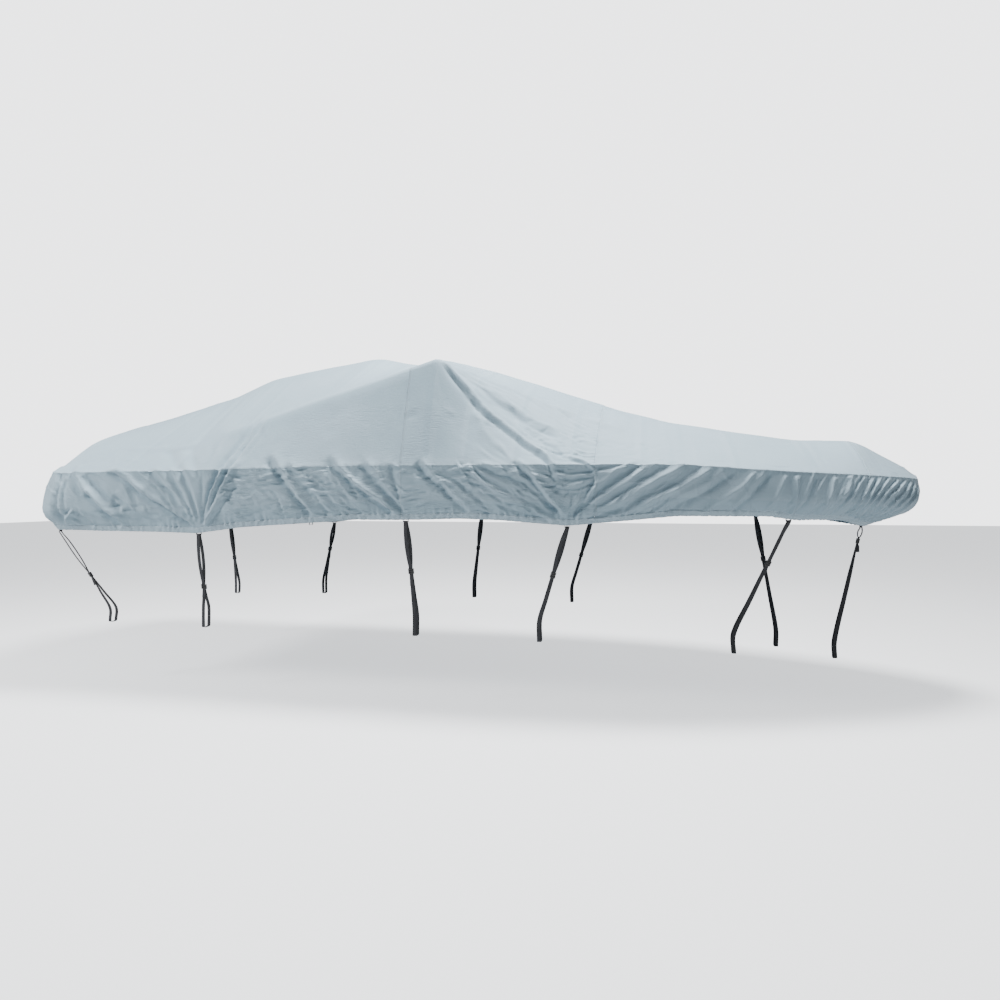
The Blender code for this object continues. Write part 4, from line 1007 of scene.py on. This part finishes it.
def loop_piece(name, hem, inner, drop):
    """A hem loop of webbing, bent under and sewn up behind the hem."""
    reach = (inner + LOOP_WEBBING)/2
    low = -drop + LOOP_WEBBING/2
    path = [(-reach, LOOP_OVERLAP), (-reach, LOOP_OVERLAP/2), (-reach, low + LOOP_BEND)]
    path += [
        (-reach + LOOP_BEND*(1 - math.cos(t)), low + LOOP_BEND*(1 - math.sin(t)))
        for t in np.radians((22, 45, 67, 90))]
    path += [(-p, q) for p, q in reversed(path)]
    points = [hem @ Vector((p, -LOOP_DEPTH/2, q)) for p, q in path]
    across = Vector(hem.col[1][:3])
    piece, _ = ribbon(name, points, [across]*len(points), LOOP_DEPTH*LOOP_SHARE, LOOP_WEBBING*LOOP_THIN)
    return piece


def box_part(work, low, high, bevel):
    """One block of a moulding, with its edges eased."""
    made = bmesh.ops.create_cube(work, size=1.0)["verts"]
    for vertex in made:
        for k in range(3):
            middle, size = (low[k] + high[k])/2, high[k] - low[k]
            vertex.co[k] = middle + vertex.co[k]*size
    edges = list({edge for vertex in made for edge in vertex.link_edges})
    bmesh.ops.bevel(work, geom=edges, offset=bevel, segments=2, affect="EDGES", profile=0.7)


def buckle_piece(name, seat_matrix):
    """A ladder buckle: two cheeks, bars on its front and back, and grip ribs."""
    work = bmesh.new()
    width, height, depth = BUCKLE_WIDTH/2, BUCKLE_HEIGHT/2, BUCKLE_DEPTH/2
    for sign in (-1, 1):
        box_part(work, (sign*width - (CHEEK if sign > 0 else 0), -depth, -height),
                 (sign*width + (CHEEK if sign < 0 else 0), depth, height), CHEEK_BEVEL)
    faces = {"front": (depth - BAR_DEPTH, depth), "back": (-depth, -depth + BAR_DEPTH)}
    for low, high, face in BUCKLE_BARS:
        inner, outer = faces[face]
        box_part(work, (-width + BAR_INSET, inner, low), (width - BAR_INSET, outer, high), BAR_BEVEL)
    for step in range(GRIP_RIBS):
        z = RIB_START + RIB_PITCH*step
        box_part(work, (-width*RIB_SPAN, depth - RIB_ROOT, z),
                 (width*RIB_SPAN, depth + RIB_RISE, z + RIB_HEIGHT), RIB_BEVEL)
    work.transform(seat_matrix)
    mesh = bpy.data.meshes.new(name)
    bmesh.ops.recalc_face_normals(work, faces=work.faces)
    work.to_mesh(mesh)
    work.free()
    mesh.shade_smooth()
    mesh.set_sharp_from_angle(angle=math.radians(40))
    return put_in_scene(name, mesh)


# ======== nodes
class Wiring:
    """Adds nodes to one tree, each with its settings and its inputs' values or links."""

    def __init__(self, tree):
        self.tree = tree

    def feed(self, socket, value):
        if isinstance(value, bpy.types.NodeSocket):
            self.tree.links.new(value, socket)
        else:
            socket.default_value = value

    def add(self, kind, inputs=(), **settings):
        count = len(self.tree.nodes)
        made = self.tree.nodes.new(kind)
        made.location = (200*(count % 8) - 900, 300 - 320*(count//8))
        for label, value in settings.items():
            setattr(made, label, value)
        for label, value in dict(inputs).items():
            self.feed(made.inputs[label], value)
        return made

    def math(self, operation, *values):
        return self.add("ShaderNodeMath", enumerate(values), operation=operation).outputs[0]

    def sum_of(self, total, *parts):
        """The total with each part's value times its share added."""
        for value, share in parts:
            total = self.math("ADD", total, self.math("MULTIPLY", value, share))
        return total

    def noise(self, vector, scale, detail=2, **more):
        inputs = {"Vector": vector, "Scale": scale, "Detail": detail, **more}
        return self.add("ShaderNodeTexNoise", inputs).outputs["Fac"]

    def attribute(self, name):
        return self.add("ShaderNodeAttribute", attribute_name=name).outputs["Fac"]

    def cloth_uv(self):
        return self.add("ShaderNodeUVMap", uv_map="cloth").outputs["UV"]

    def place(self):
        return self.add("ShaderNodeTexCoord").outputs["Object"]

    def effect(self, group, vector, **numbers):
        """A shared group's outputs, with its numbers named with underscores."""
        inputs = {label.replace("_", " "): value for label, value in numbers.items()}
        return self.add("ShaderNodeGroup", {"Vector": vector, **inputs}, node_tree=group).outputs

    def bump(self, strength, distance, **inputs):
        inputs = {"Strength": strength, "Distance": distance, **inputs}
        return self.add("ShaderNodeBump", inputs).outputs["Normal"]

    def tinted(self, dark, light, factor):
        mix = self.add("ShaderNodeMix", {"A": (*dark, 1), "B": (*light, 1), "Factor": factor},
                       data_type="RGBA", clamp_factor=True)
        return mix.outputs["Result"]


# ======== stitching
def stitch_tree(thread):
    """Geometry nodes: a short thread along each line at every pitch."""
    tree = bpy.data.node_groups.new("stitch_rows", "GeometryNodeTree")
    face = tree.interface
    face.new_socket("Lines", in_out="INPUT", socket_type="NodeSocketGeometry")
    for label, value in (("Pitch", 0.0050), ("Thread length", 0.0034), ("Thread radius", 0.00040)):
        socket = face.new_socket(label, in_out="INPUT", socket_type="NodeSocketFloat")
        socket.default_value = value
    seed = face.new_socket("Seed", in_out="INPUT", socket_type="NodeSocketInt")
    seed.default_value = 5
    face.new_socket("Stitches", in_out="OUTPUT", socket_type="NodeSocketGeometry")
    wires = Wiring(tree)
    given = wires.add("NodeGroupInput").outputs
    resample = wires.add("GeometryNodeResampleCurve",
                         {"Curve": given["Lines"], "Length": given["Pitch"]}, mode="LENGTH")
    to_points = wires.add("GeometryNodeCurveToPoints",
                          {"Curve": resample.outputs["Curve"]}, mode="EVALUATED")
    body = wires.add("GeometryNodeMeshCylinder",
                     {"Vertices": 4, "Radius": given["Thread radius"], "Depth": given["Thread length"]},
                     fill_type="NGON")
    wobble = wires.add("FunctionNodeRandomValue", {2: 0.88, 3: 1.10, "Seed": given["Seed"]},
                       data_type="FLOAT")
    align = wires.add("FunctionNodeAlignRotationToVector",
                      {"Vector": to_points.outputs["Tangent"]}, axis="Z")
    placed = wires.add("GeometryNodeInstanceOnPoints", {
        "Points": to_points.outputs["Points"], "Instance": body.outputs["Mesh"],
        "Rotation": align.outputs["Rotation"], "Scale": wobble.outputs[1]})
    real = wires.add("GeometryNodeRealizeInstances", {"Geometry": placed.outputs["Instances"]})
    dyed = wires.add("GeometryNodeSetMaterial",
                     {"Material": thread, "Geometry": real.outputs["Geometry"]})
    wires.add("NodeGroupOutput", {"Stitches": dyed.outputs["Geometry"]})
    return tree


def build_stitching(lines, thread):
    curve = bpy.data.curves.new("stitch_lines", "CURVE")
    curve.dimensions = "3D"
    for line in lines:
        spline = curve.splines.new("POLY")
        spline.points.add(len(line) - 1)
        spline.points.foreach_set("co", np.concatenate([line, np.ones((len(line), 1))], 1).ravel())
    guide = put_in_scene("stitch_lines", curve)
    rows = guide.modifiers.new("stitches", "NODES")
    rows.node_group = stitch_tree(thread)
    for item in rows.node_group.interface.items_tree:
        if item.in_out == "INPUT" and item.name == "Pitch":
            rows[item.identifier] = STITCH_PITCH
    bpy.context.view_layer.update()
    evaluated = guide.evaluated_get(bpy.context.evaluated_depsgraph_get())
    mesh = bpy.data.meshes.new_from_object(evaluated)
    guide.modifiers.remove(rows)
    bpy.data.objects.remove(guide)
    mesh.name = "stitching"
    if not mesh.materials:
        mesh.materials.append(thread)
    return put_in_scene("stitching", mesh)


# ======== finishes
def new_group(name, numbers, results):
    """A shader group that takes a vector and numbers, with its wiring and what it is given."""
    group = bpy.data.node_groups.new(name, "ShaderNodeTree")
    face = group.interface
    face.new_socket("Vector", in_out="INPUT", socket_type="NodeSocketVector")
    for label, value in numbers:
        socket = face.new_socket(label, in_out="INPUT", socket_type="NodeSocketFloat")
        socket.default_value = value
    for label in results:
        face.new_socket(label, in_out="OUTPUT", socket_type="NodeSocketFloat")
    wires = Wiring(group)
    return group, wires, wires.add("NodeGroupInput").outputs


def plain_weave_group():
    """Over-and-under threads from a uv in metres: a height and a thread mask."""
    group, wires, given = new_group(
        "plain_weave", (("Threads per metre", 900), ("Slub", 0.3)), ("Height", "Thread"))
    split = wires.add("ShaderNodeSeparateXYZ", {0: given["Vector"]}).outputs
    turns = wires.math("MULTIPLY", given["Threads per metre"], math.pi)
    warp, weft = (wires.math("SINE", wires.math("MULTIPLY", split[axis], turns)) for axis in "XY")
    higher = wires.math("MAXIMUM", wires.math("ABSOLUTE", warp), wires.math("ABSOLUTE", weft))
    weave = wires.sum_of(higher, (wires.math("MULTIPLY", warp, weft), 0.35))
    height = wires.sum_of(weave, (wires.noise(given["Vector"], 420), given["Slub"]))
    wires.add("NodeGroupOutput", {"Height": height, "Thread": weave})
    return group


def weathering_group():
    """Uneven fading and dust from Object coordinates: a colour factor and a roughness shift."""
    group, wires, given = new_group(
        "weathering", (("Patch size", 1.0), ("Strength", 1.0)), ("Fade", "Dust"))
    broad = wires.noise(given["Vector"], given["Patch size"], 4, Roughness=0.55)
    fine = wires.noise(given["Vector"], wires.math("MULTIPLY", given["Patch size"], 19.0), 5)
    fade, dust = (
        wires.math("MULTIPLY", wires.math("SUBTRACT", patches, 0.5), given["Strength"])
        for patches in (broad, fine))
    wires.add("NodeGroupOutput", {"Fade": fade, "Dust": dust})
    return group


def new_finish(name, values):
    """A material with its shader's uniform values, its wiring and its shader's inputs."""
    material = bpy.data.materials.new(name)
    material.use_nodes = True
    inputs = material.node_tree.nodes["Principled BSDF"].inputs
    for label, value in values.items():
        inputs[label].default_value = value
    return material, Wiring(material.node_tree), inputs


def polyester_finish(weave, weathering):
    """Matt silver-grey coated polyester, a little paler on the hem band, with painted highlight on the
    fold crests and painted shade in the troughs.
    """
    material, wires, shader = new_finish("silver_grey_polyester", {
        "Roughness": 0.82, "Sheen Weight": 0.12, "Sheen Roughness": 0.5,
        "Specular IOR Level": 0.35})
    cloth = wires.cloth_uv()
    woven = wires.effect(weave, cloth, Threads_per_metre=900)
    worn = wires.effect(weathering, wires.place(), Patch_size=1.3, Strength=0.9)
    # The fold attribute paints highlight on the crests and shade in the troughs; the rest is fading,
    # dust, the paler hem band and the weave.
    tone = wires.sum_of(
        wires.math("ADD", worn["Fade"], 0.5), (worn["Dust"], 0.35), (wires.attribute("fold"), 0.16),
        (wires.attribute("hem"), 0.65), (wires.math("SUBTRACT", woven["Thread"], 0.8), 0.10))
    colour = wires.tinted((0.222, 0.316, 0.378), (0.304, 0.399, 0.464), tone)
    wires.feed(shader["Base Color"], colour)
    wires.feed(shader["Roughness"], wires.sum_of(0.80, (worn["Dust"], 0.25)))
    lay = wires.add("ShaderNodeMapping", {
        "Vector": cloth, "Rotation": (0, 0, math.radians(9)), "Scale": (13, 78, 1)})
    lines = wires.noise(lay.outputs["Vector"], 1, 2, Distortion=0.6)
    centred = wires.math("ABSOLUTE", wires.math("SUBTRACT", lines, 0.5))
    ridged = wires.math("POWER", wires.math("SUBTRACT", 1.0, centred), 7)
    patchy = wires.add("ShaderNodeMapRange", {
        "Value": wires.noise(cloth, 4.5, 3), "From Min": 0.38, "From Max": 0.66,
        "To Min": 0.25, "To Max": 1.35})
    amount = wires.math("MULTIPLY", wires.attribute("crinkle"), patchy.outputs["Result"])
    relief = wires.sum_of(wires.math("MULTIPLY", ridged, amount), (wires.noise(cloth, 55, 4), 0.8))
    soft = wires.bump(0.7, 0.0020, Height=relief)
    wires.feed(shader["Normal"], wires.bump(0.30, 0.0002, Height=woven["Height"], Normal=soft))
    return material


def webbing_finish(weave, weathering):
    """Black woven webbing, with its ribs across and dust in them."""
    material, wires, shader = new_finish(
        "black_webbing", {"Roughness": 0.72, "Sheen Weight": 0.10, "Specular IOR Level": 0.3})
    woven = wires.effect(weave, wires.cloth_uv(), Threads_per_metre=620)
    worn = wires.effect(weathering, wires.place(), Patch_size=9, Strength=1.2)
    tone = wires.sum_of(wires.math("ADD", worn["Fade"], 0.35), (woven["Thread"], 0.25))
    colour = wires.tinted((0.010, 0.010, 0.013), (0.034, 0.036, 0.042), tone)
    wires.feed(shader["Base Color"], colour)
    wires.feed(shader["Normal"], wires.bump(0.6, 0.0004, Height=woven["Height"]))
    return material


def plastic_finish(weathering):
    """Moulded black plastic with a fine grain and rubbed, paler patches."""
    material, wires, shader = new_finish("black_buckle_plastic", {"Roughness": 0.42})
    place = wires.place()
    worn = wires.effect(weathering, place, Patch_size=24, Strength=1.0)
    tone = wires.math("ADD", worn["Fade"], 0.4)
    colour = wires.tinted((0.008, 0.008, 0.009), (0.030, 0.030, 0.033), tone)
    wires.feed(shader["Base Color"], colour)
    wires.feed(shader["Roughness"], wires.sum_of(0.42, (worn["Dust"], 0.5)))
    wires.feed(shader["Normal"], wires.bump(0.25, 0.0001, Height=wires.noise(place, 1800)))
    return material


def thread_finish(weathering):
    """Pale grey bonded thread."""
    material, wires, shader = new_finish("grey_thread", {"Roughness": 0.6})
    worn = wires.effect(weathering, wires.place(), Patch_size=30)
    tone = wires.math("ADD", worn["Fade"], 0.5)
    wires.feed(shader["Base Color"], wires.tinted((0.33, 0.38, 0.40), (0.45, 0.50, 0.52), tone))
    return material


# ======== the set
FLOOR_REACH = 30.0
LIGHTS = (                       # name, place, power, size
    ("overhead", (1.9, -0.5, 4.6), 1200, 1.8),
    ("key", (-5.0, -3.3, 2.3), 500, 1.5),
)
LIGHTS_AIM = (0.9, 0.0, -0.7)
EYE = (4.07, -5.02, 1.32)        # in cutting axes
CAMERA_TURN = 12                 # degrees towards the stern
SENSOR = 36.0
LENS_TO_SENSOR = 0.680
HORIZON_SHIFT = -0.003


def build_set():
    """Pale floor, soft lights and the camera at the photograph's place."""
    floor_mesh = bpy.data.meshes.new("floor")
    corners = [(FLOOR_REACH*x, FLOOR_REACH*y, -MOUNT_Z)
               for x, y in ((-1, -1), (1, -1), (1, 1), (-1, 1))]
    floor_mesh.from_pydata(corners, [], [(0, 1, 2, 3)])
    floor = put_in_scene("floor", floor_mesh)
    pale, wires, shader = new_finish("pale_floor", {
        "Roughness": 0.9, "Base Color": (0.64, 0.65, 0.66, 1), "Emission Strength": 1.1})
    seen = wires.add("ShaderNodeLightPath").outputs["Is Camera Ray"]
    wires.feed(shader["Emission Color"], wires.tinted((0, 0, 0), (0.95, 0.97, 1.0), seen))
    floor_mesh.materials.append(pale)
    world = bpy.data.worlds.new("pale_studio")
    world.use_nodes = True
    fill = world.node_tree.nodes["Background"]
    fill.inputs["Color"].default_value = (0.94, 0.97, 1.0, 1)
    fill.inputs["Strength"].default_value = 0.34
    wires = Wiring(world.node_tree)
    paper = wires.add("ShaderNodeBackground", {"Color": (0.97, 0.98, 1.0, 1), "Strength": 3.4})
    seen = wires.add("ShaderNodeLightPath").outputs["Is Camera Ray"]
    either = wires.add("ShaderNodeMixShader", {0: seen, 1: fill.outputs[0], 2: paper.outputs[0]})
    wires.feed(world.node_tree.nodes["World Output"].inputs["Surface"], either.outputs[0])
    bpy.context.scene.world = world
    for name, spot, power, width in LIGHTS:
        light = bpy.data.lights.new(name, "AREA")
        light.energy, light.size = power, width
        lamp = put_in_scene(name, light)
        lamp.location = spot
        aim = Vector(LIGHTS_AIM) - Vector(spot)
        lamp.rotation_euler = aim.to_track_quat("-Z", "Y").to_euler()
    camera = bpy.data.cameras.new("camera")
    camera.sensor_width = SENSOR
    camera.lens = LENS_TO_SENSOR*SENSOR
    camera.shift_y = HORIZON_SHIFT
    viewer = put_in_scene("camera", camera)
    viewer.location = seat(EYE)
    viewer.rotation_euler = (math.radians(90), 0, math.radians(CAMERA_TURN))
    bpy.context.scene.camera = viewer


def hand_over(piece, node, finish):
    """Give a piece its finish, attach it to the root body, and hide the imported part that it stands
    for.
    """
    piece.data.materials.append(finish)
    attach(piece, "root")
    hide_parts(node)


def main():
    build_set()
    weave, weathering = plain_weave_group(), weathering_group()
    cloth = polyester_finish(weave, weathering)
    webbing = webbing_finish(weave, weathering)
    plastic = plastic_finish(weathering)
    thread = thread_finish(weathering)
    panels, lines = build_cloth()
    for piece, node in panels:
        hand_over(piece, node, cloth)
    stitching = build_stitching(lines, thread)
    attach(stitching, "root")
    for strap in STRAPS:
        name, x, side = strap[:3]
        hem = cad_frame("hem_loop_" + name, x, side)
        loop = loop_piece("hem_loop_of_" + name, hem, LOOP_INNER, LOOP_DROP)
        path, middle, run, out = strap_path(hem, strap)
        tape, length = ribbon(
            "strap_of_" + name, *rounded_run(path), WEBBING_WIDTH, WEBBING*STRAP_THIN,
            WEBBING_RIDGE)
        upright = Matrix((run.cross(out).normalized(), out, -run)).transposed()
        upright.col[1] = upright.col[2].cross(upright.col[0]).normalized()
        buckle = buckle_piece("buckle_of_" + name, Matrix.Translation(middle) @ upright.to_4x4())
        hand_over(loop, "hem_loop_" + name, webbing)
        hand_over(tape, "strap_" + name, webbing)
        hand_over(buckle, "buckle_" + name, plastic)
    for name, x, side in SPARE_LOOPS:
        piece = loop_piece(name + "_webbing", cad_frame(name, x, side), SPARE_LOOP_INNER, LOOP_DROP)
        hand_over(piece, name, webbing)


main()
bpy.context.view_layer.update()
